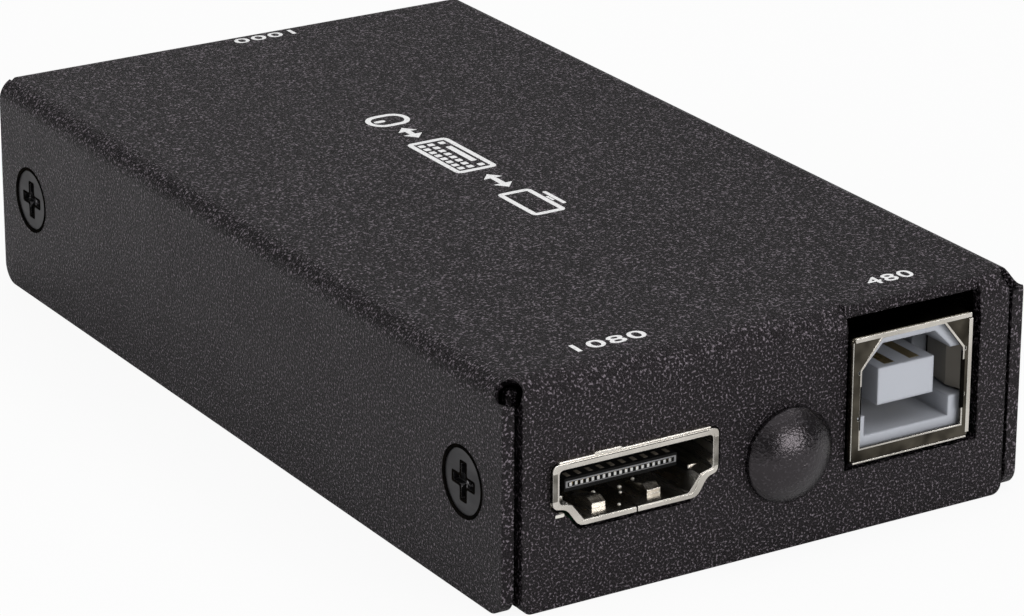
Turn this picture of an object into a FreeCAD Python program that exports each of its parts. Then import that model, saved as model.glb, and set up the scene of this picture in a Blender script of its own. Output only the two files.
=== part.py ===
import FreeCAD, Part
import math
import os
import re
import Sketcher
from FreeCAD import Placement, Rotation, Vector

# A small metal-cased video and data adapter. X runs across the front, Y from the front
# panel (low) to the rear panel (high), Z up. The origin is under the middle of the case.

driving = {
    # folded cover
    "caseWidth": 50.4,
    "caseLength": 90.0,
    "caseHeight": 19.7,
    "coverSheet": 1.1,
    "coverFold": 2.1,
    "cornerGap": 0.6,
    "frontSetback": 0.3,
    "rearSetback": 1.3,
    "reliefRadius": 1.1,
    "reliefInset": 0.9,
    "sideFootRadius": 1.8,
    "endFootRadius": 0.9,
    # folded base
    "traySheet": 1.0,
    "trayFold": 1.6,
    "trayPlay": 0.15,
    "trayEndPlay": 0.25,
    "trayTopRoom": 2.0,
    "trayCornerRadius": 1.5,
    # case screws
    "screwThread": 3.0,
    "screwHead": 5.6,
    "screwSink": 0.1,
    "screwRim": 0.15,
    "screwLength": 4.0,
    "screwPoint": 0.4,
    "sinkPlay": 0.2,
    "sideScrewHeight": 9.6,
    "sideScrewFront": 6.24,
    "sideScrewRear": 7.2,
    "collarWall": 0.8,
    "collarDepth": 1.2,
    "recessWidth": 0.75,
    "recessSpan": 3.1,
    "recessDepth": 1.2,
    # board, its posts and its screws
    "boardRoom": 12.35,
    "postRadius": 2.7,
    "postShank": 2.1,
    "boardThick": 1.6,
    "boardSideRoom": 1.35,
    "boardFrontRoom": 2.3,
    "boardRearRoom": 0.9,
    "boardCorner": 1.0,
    "boardHolePlay": 0.1,
    "boardScrewInset": 4.0,
    "boardScrewFront": 20.5,
    "boardScrewRear": 6.8,
    "boardScrewHead": 5.4,
    "boardScrewHigh": 1.9,
    "boardScrewTip": 1.45,
    "pinPlay": 0.2,
    "pinReach": 0.9,
    # video socket
    "videoFromSide": 11.97,
    "videoWide": 15.24,
    "videoHigh": 5.42,
    "videoLift": 0.64,
    "videoProud": 0.52,
    "videoDeep": 11.5,
    "videoSheet": 0.4,
    "videoShoulder": 1.95,
    "videoStepIn": 1.37,
    "videoStepDown": 0.45,
    "videoFootIn": 1.15,
    "videoRound": 0.8,
    "videoTongueWide": 10.6,
    "videoTongueHigh": 1.1,
    "videoTongueLift": 1.96,
    "videoTongueInset": 2.3,
    "videoTongueLip": 0.6,
    "videoBlockDeep": 4.0,
    "videoContacts": 19,
    "videoPitch": 0.5,
    "videoContactWide": 0.28,
    "videoContactHigh": 0.3,
    "videoContactLift": 0.45,
    "videoFoot": 0.9,
    "videoLegWide": 1.3,
    "videoFingerWide": 1.25,
    "videoFingerSpread": 5.2,
    "videoFingerRise": 0.75,
    "videoFingerInset": 1.5,
    "videoFingerLong": 4.0,
    "videoLugWide": 1.3,
    "videoLugHigh": 0.75,
    "videoRoom": 0.36,
    "videoCutRight": 0.25,
    "videoCutDown": 0.3,
    # data socket
    "dataFromSide": 11.83,
    "dataWide": 12.02,
    "dataHigh": 10.99,
    "dataProud": 0.65,
    "dataDeep": 16.0,
    "dataSheet": 0.3,
    "dataRound": 0.35,
    "dataMouthWide": 10.2,
    "dataMouthHigh": 9.25,
    "dataMouthLift": 1.3,
    "dataMouthSlopeWide": 2.0,
    "dataMouthSlopeHigh": 2.5,
    "dataRecess": 0.35,
    "dataCavityWide": 8.45,
    "dataCavityHigh": 7.78,
    "dataCavitySlope": 1.6,
    "dataCavityDeep": 9.0,
    "dataTongueWide": 5.6,
    "dataTongueHigh": 3.2,
    "dataTongueInset": 0.9,
    "dataTongueLip": 0.6,
    "dataBlockDeep": 12.5,
    "dataContactX": 1.25,
    "dataContactWide": 1.0,
    "dataContactThick": 0.25,
    "dataPinRow": 2.0,
    "dataSpringHigh": 4.0,
    "dataSpringLong": 5.0,
    "dataSpringBow": 0.5,
    "dataSpringPlay": 0.15,
    "dataNotch": 0.3,
    "dataLegWide": 1.6,
    "dataLegBack": 10.2,
    "dataRoomLeft": 0.1,
    "dataRoomRight": 1.3,
    "dataRoomBelow": 0.7,
    "lipSetback": 0.65,
    # blanking plug
    "plugShift": 0.72,
    "plugLift": 2.12,
    "plugHole": 6.5,
    "plugHead": 8.2,
    "plugRim": 0.5,
    "plugDome": 2.0,
    "plugPlay": 0.05,
    "plugBarb": 0.2,
    "plugReach": 2.6,
    "plugBore": 4.4,
    "plugSlit": 0.8,
    # network jack
    "jackX": 1.6,
    "jackWide": 16.0,
    "jackHigh": 11.2,
    "jackDeep": 21.0,
    "jackProud": 0.3,
    "jackSheet": 0.25,
    "jackFrame": 0.7,
    "jackRoom": 0.3,
    "jackPlugWide": 11.9,
    "jackPlugHigh": 6.9,
    "jackPlugLift": 2.5,
    "jackPlugDeep": 13.5,
    "jackLatchWide": 6.4,
    "jackLatchHigh": 1.1,
    "jackKeyWide": 3.4,
    "jackKeyHigh": 0.8,
    "jackContacts": 8,
    "jackPitch": 1.02,
    "jackContactWide": 0.45,
    "jackContactThick": 0.3,
    "jackContactDip": 2.0,
    "jackContactInset": 3.5,
    "jackContactLong": 7.5,
    "jackCombHigh": 0.9,
    "jackTailRow": 2.54,
    "jackLensWide": 2.6,
    "jackLensHigh": 1.2,
    "jackLensX": 5.2,
    "jackLensLift": 0.6,
    "jackLensDeep": 3.0,
    "jackLegWide": 1.6,
    "jackLegBack": 9.0,
    # parts on the board
    "boardGap": 1.0,
    "processorBack": 25.5,
    "processorSide": 14.0,
    "processorHigh": 1.3,
    "regulatorSide": 5.0,
    "regulatorHigh": 0.9,
    "crystalWide": 3.2,
    "crystalLong": 2.5,
    "crystalHigh": 0.8,
    "crystalBack": 31.5,
    "inductorInset": 6.2,
    "inductorBack": 27.5,
    "inductorSide": 7.0,
    "inductorHigh": 4.0,
    "inductorRound": 1.0,
    "canInset": 3.6,
    "canBack": 27.5,
    "canPitch": 6.5,
    "canCount": 2,
    "canRadius": 2.5,
    "canHigh": 5.5,
    "canFootHigh": 0.8,
    "controllerInset": 8.6,
    "controllerSide": 10.0,
    "controllerHigh": 0.9,
    "rearChipGap": 8.0,
    "transformerWide": 12.7,
    "transformerLong": 9.0,
    "transformerHigh": 5.5,
    "transformerLeads": 8,
    "transformerPitch": 1.27,
    "memoryInset": 7.0,
    "memoryWide": 8.0,
    "memoryLong": 9.0,
    "memoryHigh": 1.0,
    "memoryLeads": 9,
    "memoryPitch": 0.8,
    "leadWide": 0.4,
    "leadThick": 0.2,
    "leadRise": 0.6,
    "leadOut": 0.9,
    "chipWide": 1.0,
    "chipLong": 0.5,
    "capHigh": 0.5,
    "resistorHigh": 0.35,
    "chipPitch": 1.8,
    "chipCount": 12,
    "chipRowGap": 3.0,
    "chipRowY": -4.0,
    "protectorWide": 2.5,
    "protectorLong": 1.0,
    "protectorHigh": 0.5,
    "protectorBack": 15.0,
    "protectorPitch": 3.5,
    "protectorCount": 4,
    "chokeWide": 1.2,
    "chokeLong": 2.0,
    "chokeHigh": 1.0,
    "chokeGap": 2.0,
    "chokePitch": 2.6,
    "chokeCount": 3,
}

worked = {
    "side": "caseWidth / 2",
    "front": "-caseLength / 2",
    "rear": "caseLength / 2",
    "innerSide": "side - coverSheet",
    "innerFront": "front + coverSheet",
    "innerRear": "rear - coverSheet",
    "innerTop": "caseHeight - coverSheet",
    "sideFlangeFront": "rear - frontSetback",
    "sideFlangeRear": "rear - rearSetback",
    "endFlangeEnd": "innerSide - cornerGap",
    "traySide": "innerSide - trayPlay",
    "trayInner": "traySide - traySheet",
    "trayRear": "innerRear - trayEndPlay",
    "trayTop": "innerTop - trayTopRoom",
    "sinkRadius": "screwHead / 2 + screwSink + screwRim",
    "threadRadius": "screwThread / 2",
    "boardTop": "innerTop - boardRoom",
    "boardUnder": "boardTop - boardThick",
    "boardSide": "trayInner - boardSideRoom",
    "boardFront": "innerFront + boardFrontRoom",
    "boardRear": "innerRear - boardRearRoom",
    "boardScrewX": "boardSide - boardScrewInset",
    "boardScrewLength": "boardTop - boardScrewTip",
    "pinEnd": "boardUnder - pinReach",
    "videoX": "videoFromSide - side",
    "videoLeft": "videoX - videoWide / 2",
    "videoRight": "videoX + videoWide / 2",
    "videoMouth": "front - videoProud",
    "videoRear": "videoMouth + videoDeep",
    "videoBottom": "boardTop + videoLift",
    "videoTop": "videoBottom + videoHigh",
    "videoStep": "videoBottom + videoShoulder",
    "videoBlockFront": "videoRear - videoBlockDeep",
    "videoTongueFront": "videoMouth + videoTongueInset",
    "videoTongueBottom": "videoBottom + videoTongueLift",
    "videoTongueTop": "videoTongueBottom + videoTongueHigh",
    "videoContactZ": "videoTongueBottom + videoContactLift",
    "dataX": "side - dataFromSide",
    "dataLeft": "dataX - dataWide / 2",
    "dataRight": "dataX + dataWide / 2",
    "dataMouth": "front - dataProud",
    "dataRear": "dataMouth + dataDeep",
    "dataTop": "boardTop + dataHigh",
    "dataMiddle": "boardTop + dataMouthLift + dataMouthHigh / 2",
    "dataBlockFront": "dataMouth + dataSheet + dataRecess",
    "dataBlockRear": "dataBlockFront + dataBlockDeep",
    "dataFloor": "dataBlockFront + dataCavityDeep",
    "dataTongueFront": "dataMouth + dataTongueInset",
    "dataTongueTop": "dataMiddle + dataTongueHigh / 2",
    "dataTongueBottom": "dataMiddle - dataTongueHigh / 2",
    "dataLegY": "dataMouth + dataLegBack",
    "dataCutLeft": "dataLeft - dataRoomLeft",
    "dataCutRight": "dataRight + dataRoomRight",
    "dataCutBottom": "boardTop - dataRoomBelow",
    "lipEdge": "front + lipSetback",
    "plugX": "(videoRight + dataLeft) / 2 + plugShift",
    "plugZ": "boardTop + plugLift",
    "jackMouth": "rear + jackProud",
    "jackBack": "jackMouth - jackDeep",
    "jackTop": "boardTop + jackHigh",
    "jackLeft": "jackX - jackWide / 2",
    "jackRight": "jackX + jackWide / 2",
    "jackPlugBottom": "boardTop + jackPlugLift",
    "jackPlugTop": "jackPlugBottom + jackPlugHigh",
    "jackCombTop": "jackPlugTop + jackCombHigh",
    "jackPlugEnd": "jackMouth - jackPlugDeep",
    "jackLegY": "jackMouth - jackLegBack",
    "jackTailY": "jackBack + jackSheet + jackTailRow",
    "jackRowHalf": "(jackContacts * jackPitch + jackContactWide) / 2",
    "rearChipY": "jackBack - rearChipGap",
    "canX": "canInset - boardSide",
    "processorX": "canX + canRadius + boardGap + processorSide / 2",
    "inductorX": "boardSide - inductorInset",
    "regulatorX": "inductorX - inductorSide / 2 - boardGap - regulatorSide / 2",
}

doc = FreeCAD.newDocument("AdapterCase")
sheet = doc.addObject("Spreadsheet::Sheet", "Sizes")
for row, (word, size) in enumerate(driving.items(), 1):
    sheet.set(f"A{row}", word)
    sheet.set(f"B{row}", str(size))
    sheet.setAlias(f"B{row}", word)
gauge = doc.addObject("App::FeaturePython", "Gauge")
gauge.addProperty("App::PropertyFloat", "Reading")
doc.recompute()


def bound(text):
    """The expression in terms of the sheet's cells, with the worked-out names spelled out."""
    def spell(match):
        word = match.group()
        if word in worked:
            return "(" + bound(worked[word]) + ")"
        if word in driving:
            return "Sizes." + word
        return word
    return re.sub(r"[A-Za-z]\w*", spell, str(text))


def value(text):
    """The present number that an expression gives."""
    gauge.setExpression("Reading", bound(text))
    gauge.recompute()
    return gauge.Reading


def bind(thing, sizes):
    for place, text in sizes.items():
        thing.setExpression(place, bound(text))


# Sketches and features

def newBody(name):
    body = doc.addObject("PartDesign::Body", name)
    body.Label = name
    return body


def sketchAt(body, plane, level):
    sketch = body.newObject("Sketcher::SketchObject", body.Name + "_sketch")
    base = [one for one in body.Origin.OriginFeatures if one.Role == plane + "_Plane"][0]
    sketch.AttachmentSupport = [(base, "")]
    sketch.MapMode = "FlatFace"
    outward = "-1" if plane == "XZ" else "1"
    bind(sketch, {"AttachmentOffset.Base.z": f"{outward} * ({level})"})
    return sketch


def hold(sketch, shape, point, x, y):
    """Holds one point of a sketched line or circle at its distances from the sketch's axes."""
    for kind, text, axis in (("DistanceX", x, -2), ("DistanceY", y, -1)):
        if text == "0":
            sketch.addConstraint(Sketcher.Constraint("PointOnObject", shape, point, axis))
            continue
        number = sketch.addConstraint(Sketcher.Constraint(kind, -1, 1, shape, point, value(text)))
        sketch.setExpression(f"Constraints[{number}]", bound(text))


def drawOutline(sketch, corners):
    """Draws a closed outline from (x, y) corners. A corner with the x and y of a centre added
    starts an arc about that centre instead of a line."""
    first = sketch.GeometryCount
    count = len(corners)
    places = [Vector(value(corner[0]), value(corner[1]), 0) for corner in corners]
    points = []
    for corner, start, end in zip(corners, places, places[1:] + places[:1]):
        if len(corner) == 2:
            sketch.addGeometry(Part.LineSegment(start, end), False)
            points.append((1, 2))
        else:
            centre = Vector(value(corner[2]), value(corner[3]), 0)
            circle = Part.Circle(centre, Vector(0, 0, 1), (start - centre).Length)
            angles = [math.atan2(point.y - centre.y, point.x - centre.x) for point in (end, start)]
            sketch.addGeometry(Part.ArcOfCircle(circle, *angles), False)
            points.append((2, 1))
    for index, corner in enumerate(corners):
        following = (index + 1) % count
        sketch.addConstraint(Sketcher.Constraint("Coincident", first + index, points[index][1],
                                                 first + following, points[following][0]))
    for index, corner in enumerate(corners):
        hold(sketch, first + index, points[index][0], *corner[:2])
        if len(corner) > 2:
            sketch.addConstraint(Sketcher.Constraint("PointOnObject", first + index, 3, -2))


def drawCircle(sketch, x, y, radius):
    circle = Part.Circle(Vector(value(x), value(y), 0), Vector(0, 0, 1), value(radius))
    shape = sketch.addGeometry(circle, False)
    number = sketch.addConstraint(Sketcher.Constraint("Radius", shape, value(radius)))
    sketch.setExpression(f"Constraints[{number}]", bound(radius))
    hold(sketch, shape, 3, x, y)


def extrude(body, kind, plane, low, high, outlines=(), circles=()):
    """Adds (Pad) or removes (Pocket) what lies between two levels of a plane's axis."""
    sketch = sketchAt(body, plane, high if plane == "XZ" else low)
    for corners in outlines:
        drawOutline(sketch, corners)
    for x, y, radius in circles:
        drawCircle(sketch, x, y, radius)
    feature = body.newObject("PartDesign::" + kind, body.Name + "_" + kind.lower())
    feature.Profile = sketch
    feature.Reversed = kind == "Pocket"
    bind(feature, {"Length": f"({high}) - ({low})"})
    doc.recompute()
    return feature


def revolve(body, corners):
    sketch = sketchAt(body, "XZ", "0")
    drawOutline(sketch, corners)
    feature = body.newObject("PartDesign::Revolution", body.Name + "_turned")
    feature.Profile = sketch
    feature.ReferenceAxis = (sketch, ["V_Axis"])
    feature.Angle = 360
    doc.recompute()
    return feature


def rectangle(x, y):
    return [(x[0], y[0]), (x[1], y[0]), (x[1], y[1]), (x[0], y[1])]


def bothSides(first, second):
    """A place and its mirror image, for two features that face each other across the middle."""
    return [(f"-({first})", second), (first, second)]


def edgesAt(along, places):
    """A test for straight edges along an axis that pass through one of the places, each
    place given by its distances along the two other axes, in the order of their names."""
    others = [axis for axis in "xyz" if axis != along]
    spots = [tuple(value(text) for text in spot) for spot in places]

    def chosen(edge):
        if edge.Curve.TypeId != "Part::GeomLine":
            return False
        if abs(getattr(edge.tangentAt(edge.FirstParameter), along)) < 0.999:
            return False
        here = [getattr(edge.CenterOfMass, axis) for axis in others]
        return any(abs(here[0] - spot[0]) + abs(here[1] - spot[1]) < 0.002 for spot in spots)
    return chosen


def dress(body, kind, size, *tests):
    """Rounds (Fillet) or bevels (Chamfer) the edges that pass one of the tests."""
    base = body.Tip
    names = [f"Edge{number}" for number, edge in enumerate(base.Shape.Edges, 1)
             if any(test(edge) for test in tests)]
    feature = body.newObject("PartDesign::" + kind, body.Name + "_" + kind.lower())
    feature.Base = (base, names)
    bind(feature, {"Radius" if kind == "Fillet" else "Size": size})
    doc.recompute()
    return feature


facing = {
    "X": Rotation(Vector(0, 1, 0), 90),
    "-X": Rotation(Vector(0, 1, 0), -90),
    "Y": Rotation(Vector(1, 0, 0), -90),
    "-Y": Rotation(Vector(1, 0, 0), 90),
    "Z": Rotation(),
    "turned": Rotation(Vector(0, 0, 1), 180),
}


def place(thing, towards, x, y, z):
    thing.Placement = Placement(Vector(0, 0, 0), facing[towards])
    bind(thing, {"Placement.Base.x": x, "Placement.Base.y": y, "Placement.Base.z": z})


def bodyTool(body, kind, towards, where, sizes):
    """A primitive inside a body, such as a countersink or a collar."""
    tool = body.newObject("PartDesign::" + kind, body.Name + "_tool")
    place(tool, towards, *where)
    bind(tool, sizes)
    doc.recompute()
    return tool


# Solids by primitives

def block(name, x, y, z):
    box = doc.addObject("Part::Box", name)
    place(box, "Z", x[0], y[0], z[0])
    bind(box, {"Length": f"({x[1]}) - ({x[0]})",
               "Width": f"({y[1]}) - ({y[0]})",
               "Height": f"({z[1]}) - ({z[0]})"})
    return box


def chip(name, x, y, wide, long, high):
    """A flat block that stands on the board, given its middle and its three sizes."""
    box = block(name, (f"{x} - {wide} / 2", f"{x} + {wide} / 2"),
                (f"{y} - {long} / 2", f"{y} + {long} / 2"),
                ("boardTop", f"boardTop + {high}"))
    box.Label = name
    return box


def rod(name, towards, where, radius, length):
    cylinder = doc.addObject("Part::Cylinder", name)
    place(cylinder, towards, *where)
    bind(cylinder, {"Radius": radius, "Height": length})
    return cylinder


def joined(name, *shapes):
    fuse = doc.addObject("Part::MultiFuse", name)
    fuse.Shapes = list(shapes)
    return fuse


def repeated(name, placed):
    """Copies of solids as the separate solids of one sub-part. Each entry of the list is a
    solid, the way it faces and its place."""
    copies = []
    for number, (source, towards, where) in enumerate(placed, 1):
        copy = doc.addObject("App::Link", f"{name}_{number}")
        copy.LinkedObject = source
        copy.LinkTransform = True
        place(copy, towards, *where)
        copies.append(copy)
    group = doc.addObject("Part::Compound", name)
    group.Links = copies
    group.Label = name
    return group


def rowOf(count, pitch, middle):
    """Evenly spaced places about a middle."""
    total = int(round(value(count)))
    return [f"{middle} + ({number} - ({count} - 1) / 2) * {pitch}" for number in range(total)]


# Case

def sideScrewPlaces():
    return [(sign, y) for sign in ("-", "") for y in ("front + sideScrewFront", "rear - sideScrewRear")]


def cornerSlot(x, y):
    """The gap between a side flange and an end flange at one corner."""
    flange = "sideFlangeRear" if y > 0 else "sideFlangeFront"
    corners = [("endFlangeEnd", "innerRear - cornerGap"), ("innerSide", "innerRear - cornerGap"),
               ("innerSide", flange), ("side + cornerGap", flange),
               ("side + cornerGap", "rear + cornerGap"), ("endFlangeEnd", "rear + cornerGap")]
    return [(f"{x} * ({across})", f"{y} * ({along})") for across, along in corners]


def drillCorner(body, x, y):
    """The round relief where three folds would meet, square to the corner's diagonal."""
    hole = body.newObject("PartDesign::SubtractiveCylinder", "top_cover_relief")
    hole.Placement = Placement(Vector(0, 0, 0), Rotation(Vector(0, 0, 1), Vector(x, y, 1)))
    back = "reliefInset + 2 * reliefRadius"
    bind(hole, {"Placement.Base.x": f"{x} * (side - ({back}))",
                "Placement.Base.y": f"{y} * (rear - ({back}))",
                "Placement.Base.z": f"caseHeight - ({back})",
                "Radius": "reliefRadius",
                "Height": "9 * reliefRadius"})
    doc.recompute()


def makeTopCover():
    body = newBody("top_cover")
    extrude(body, "Pad", "XY", "0", "caseHeight", [rectangle(("-side", "side"), ("front", "rear"))])
    dress(body, "Fillet", "coverFold", edgesAt("y", bothSides("side", "caseHeight")),
          edgesAt("x", bothSides("rear", "caseHeight")))
    extrude(body, "Pocket", "XY", "0", "innerTop",
            [rectangle(("-innerSide", "innerSide"), ("innerFront", "innerRear"))])
    dress(body, "Fillet", "coverFold - coverSheet", edgesAt("y", bothSides("innerSide", "innerTop")),
          edgesAt("x", bothSides("innerRear", "innerTop")))
    extrude(body, "Pocket", "XY", "0", "caseHeight - reliefInset", [cornerSlot(x, -1) for x in (-1, 1)])
    extrude(body, "Pocket", "XY", "0", "caseHeight + coverSheet", [cornerSlot(x, 1) for x in (-1, 1)])
    dress(body, "Fillet", "sideFootRadius",
          edgesAt("x", [("-sideFlangeFront", "0"), ("sideFlangeRear", "0")]))
    dress(body, "Fillet", "endFootRadius", edgesAt("y", bothSides("endFlangeEnd", "0")))
    for x in (-1, 1):
        drillCorner(body, x, -1)
    cutFrontPanel(body)
    jackCut = rectangle(("jackLeft - jackRoom", "jackRight + jackRoom"),
                        ("boardTop - jackRoom", "jackTop + jackRoom / 2"))
    extrude(body, "Pocket", "XZ", "innerRear - coverSheet", "rear + coverSheet", [jackCut])
    for sign, y in sideScrewPlaces():
        bodyTool(body, "SubtractiveCone", "X" if sign else "-X", (f"{sign}side", y, "sideScrewHeight"),
                 {"Radius1": "sinkRadius", "Radius2": "sinkRadius - 1.5 * coverSheet",
                  "Height": "1.5 * coverSheet"})
    return body


def cutFrontPanel(body):
    """The openings for the sockets and the plug, and the flat lip over the data socket."""
    through = ("front - coverSheet", "innerFront + coverSheet")
    videoHole = videoOutline("videoRoom", "videoCutRight", "videoCutDown")
    extrude(body, "Pocket", "XZ", *through, [videoHole])
    dress(body, "Fillet", "videoRound", edgesAt("y", videoHole))
    extrude(body, "Pocket", "XZ", *through, circles=[("plugX", "plugZ", "plugHole / 2")])
    across = ("dataCutLeft", "dataCutRight")
    extrude(body, "Pocket", "XZ", "front - coverSheet", "front + coverFold",
            [rectangle(across, ("dataCutBottom", "caseHeight + coverSheet"))])
    lip = rectangle(across, ("lipEdge", "front + coverFold"))
    extrude(body, "Pad", "XY", "innerTop", "caseHeight", [lip])


def makeBaseTray():
    body = newBody("base_tray")
    channel = [("-traySide", "0"), ("traySide", "0"), ("traySide", "trayTop"), ("trayInner", "trayTop"),
               ("trayInner", "traySheet"), ("-trayInner", "traySheet"), ("-trayInner", "trayTop"),
               ("-traySide", "trayTop")]
    extrude(body, "Pad", "XZ", "-trayRear", "trayRear", [channel])
    dress(body, "Fillet", "trayFold", edgesAt("y", bothSides("traySide", "0")))
    dress(body, "Fillet", "trayFold - traySheet", edgesAt("y", bothSides("trayInner", "traySheet")))
    dress(body, "Fillet", "trayCornerRadius", edgesAt("x", bothSides("trayRear", "trayTop")))
    holes = [(x, y, "postShank") for x, y in boardScrewPlaces()]
    extrude(body, "Pocket", "XY", "0", "traySheet", circles=holes)
    mouth = "(sinkRadius - coverSheet - trayPlay + sinkPlay)"
    for sign, y in sideScrewPlaces():
        outward, inward = ("-X", "X") if sign else ("X", "-X")
        bodyTool(body, "AdditiveCylinder", outward,
                 (f"{sign}(trayInner - collarDepth)", y, "sideScrewHeight"),
                 {"Radius": "threadRadius + collarWall", "Height": "collarDepth + traySheet / 2"})
        bodyTool(body, "SubtractiveCylinder", outward,
                 (f"{sign}(trayInner - 2 * collarDepth)", y, "sideScrewHeight"),
                 {"Radius": "threadRadius", "Height": "3 * collarDepth + traySheet"})
        bodyTool(body, "SubtractiveCone", inward, (f"{sign}traySide", y, "sideScrewHeight"),
                 {"Radius1": mouth, "Radius2": "threadRadius", "Height": f"{mouth} - threadRadius"})
    return body


# Screws and posts

def crossOutline(arm, span):
    """A cross, given half the width and half the length of its arms."""
    return [(f"-{arm}", f"-{span}"), (arm, f"-{span}"), (arm, f"-{arm}"), (span, f"-{arm}"),
            (span, arm), (arm, arm), (arm, span), (f"-{arm}", span), (f"-{arm}", arm),
            (f"-{span}", arm), (f"-{span}", f"-{arm}"), (f"-{arm}", f"-{arm}")]


def crossRecess(body, top):
    """A cross-shaped driver recess with a pointed floor."""
    extrude(body, "Pocket", "XY", f"{top} - recessDepth / 2", f"{top} + recessDepth",
            [crossOutline("recessWidth / 2", "recessSpan / 2")])
    bodyTool(body, "SubtractiveCone", "Z", ("0", "0", f"{top} - recessDepth"),
             {"Radius1": "recessWidth / 4", "Radius2": "recessWidth", "Height": "recessDepth * 1.01"})


def makeSideScrews():
    head = "screwHead / 2"
    screw = newBody("side_screw_form")
    revolve(screw, [("0", "0"), (head, "0"), (head, "-screwRim"),
                    ("threadRadius", f"-({head} - threadRadius + screwRim)"),
                    ("threadRadius", "-(screwLength - screwPoint)"),
                    ("threadRadius - screwPoint", "-screwLength"), ("0", "-screwLength")])
    crossRecess(screw, "0")
    return repeated("side_screws", [(screw, f"{sign}X", (f"{sign}(side - screwSink)", y, "sideScrewHeight"))
                                    for sign, y in sideScrewPlaces()])


def boardScrewPlaces():
    return [(x, y) for x in ("-boardScrewX", "boardScrewX")
            for y in ("front + boardScrewFront", "rear - boardScrewRear")]


def makeBoardScrews():
    head = "boardScrewHead / 2"
    screw = newBody("board_screw_form")
    revolve(screw, [("0", "boardScrewHigh"), (f"{head} * 0.7", "boardScrewHigh"),
                    (f"{head} * 0.93", "boardScrewHigh * 0.78"), (head, "boardScrewHigh * 0.4"),
                    (head, "0"), ("threadRadius", "0"),
                    ("threadRadius", "-(boardScrewLength - screwPoint)"),
                    ("threadRadius - screwPoint", "-boardScrewLength"), ("0", "-boardScrewLength")])
    crossRecess(screw, "boardScrewHigh")
    return repeated("board_screws", [(screw, "Z", (x, y, "boardTop")) for x, y in boardScrewPlaces()])


def makeStandoffs():
    post = newBody("standoff_form")
    revolve(post, [("threadRadius", "0"), ("postShank", "0"), ("postShank", "traySheet"),
                   ("postRadius", "traySheet"), ("postRadius", "boardUnder"),
                   ("threadRadius", "boardUnder")])
    return repeated("standoffs", [(post, "Z", (x, y, "0")) for x, y in boardScrewPlaces()])


def makeCircuitBoard():
    body = newBody("circuit_board")
    extrude(body, "Pad", "XY", "boardUnder", "boardTop",
            [rectangle(("-boardSide", "boardSide"), ("boardFront", "boardRear"))])
    corners = bothSides("boardSide", "boardFront") + bothSides("boardSide", "boardRear")
    dress(body, "Fillet", "boardCorner", edgesAt("z", corners))
    holes = [(x, y, "threadRadius + boardHolePlay") for x, y in boardScrewPlaces()]
    holes += [(x, y, "dataContactWide / 2 + pinPlay") for x, y in dataPinPlaces()]
    holes += [(x, y, "jackContactWide / 2 + pinPlay") for x, y in jackTailPlaces()]
    slots = [rectangle((f"{x[0]} - pinPlay", f"{x[1]} + pinPlay"),
                       (f"{y[0]} - pinPlay", f"{y[1]} + pinPlay"))
             for x, y in videoLegs() + dataLegs() + jackLegs()]
    extrude(body, "Pocket", "XY", "boardUnder", "boardTop", slots, holes)
    return body


# Blanking plug

def makeHolePlug():
    """A domed head, a stem through the panel and a slit barb behind it, hollow at the back."""
    plug = newBody("hole_plug")
    head, stem, bore = "plugHead / 2", "(plugHole / 2 - plugPlay)", "plugBore / 2"
    domeRadius = f"(({head}) * ({head}) + plugDome * plugDome) / (2 * plugDome)"
    revolve(plug, [("0", "plugRim + plugDome", "0", f"plugRim + plugDome - {domeRadius}"),
                   (head, "plugRim"), (head, "0"), (stem, "0"), (stem, "-coverSheet"),
                   ("plugHole / 2 + plugBarb", "-coverSheet"), ("plugHole / 2 - plugBarb", "-plugReach"),
                   (bore, "-plugReach"), (bore, "0"), ("0", "0")])
    extrude(plug, "Pocket", "XY", "-plugReach", "-coverSheet / 2", [crossOutline("plugSlit / 2", head)])
    place(plug, "-Y", "plugX", "front", "plugZ")
    return plug


# Video socket

def videoOutline(grow, right="0", down="0"):
    """The video socket's outline: a straight top, stepped shoulders and a narrower foot."""
    half = [
        (f"videoWide / 2 + {grow}", f"videoTop + {grow} - {down}"),
        (f"videoWide / 2 + {grow}", f"videoStep - {grow} / 2 - {down}"),
        (f"videoWide / 2 - videoStepIn + {grow} / 2", f"videoStep - videoStepDown - {grow} - {down}"),
        (f"videoWide / 2 - videoStepIn - videoFootIn + {grow} / 2", f"videoBottom - {grow} - {down}"),
    ]
    rightSide = [(f"videoX + {right} + {x}", z) for x, z in half]
    leftSide = [(f"videoX + {right} - ({x})", z) for x, z in reversed(half)]
    return rightSide + leftSide


def videoLegs():
    """The reach in X and in Y of the shell's four legs."""
    return [((x, f"{x} + videoSheet"), (y, f"{y} + videoLegWide"))
            for x in ("videoLeft", "videoRight - videoSheet")
            for y in ("boardFront + videoLegWide", "videoRear - 2 * videoLegWide")]


def makeVideoShell():
    body = newBody("video_socket_shell")
    inside = "(-videoSheet)"
    extrude(body, "Pad", "XZ", "videoMouth", "videoRear", [videoOutline("0")])
    dress(body, "Fillet", "videoRound", edgesAt("y", videoOutline("0")))
    extrude(body, "Pocket", "XZ", "videoMouth", "videoRear", [videoOutline(inside)])
    dress(body, "Fillet", "videoRound - videoSheet", edgesAt("y", videoOutline(inside)))
    for x, y in videoLegs():
        extrude(body, "Pad", "XY", "pinEnd", "videoStep + videoSheet", [rectangle(x, y)])
    for x in rowOf("2", "videoFingerSpread", "videoX"):
        springFinger(body, x)
    for sign in ("-", "+"):
        inner = f"videoX {sign} (videoWide / 2 - videoSheet)"
        outer = f"videoX {sign} (videoWide / 2 - videoSheet - videoLugWide)"
        extrude(body, "Pad", "XY", "videoStep - videoLugHigh", "videoStep + videoSheet / 4",
                [rectangle((inner, outer), ("innerFront", "innerFront + videoSheet"))])
    return body


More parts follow.
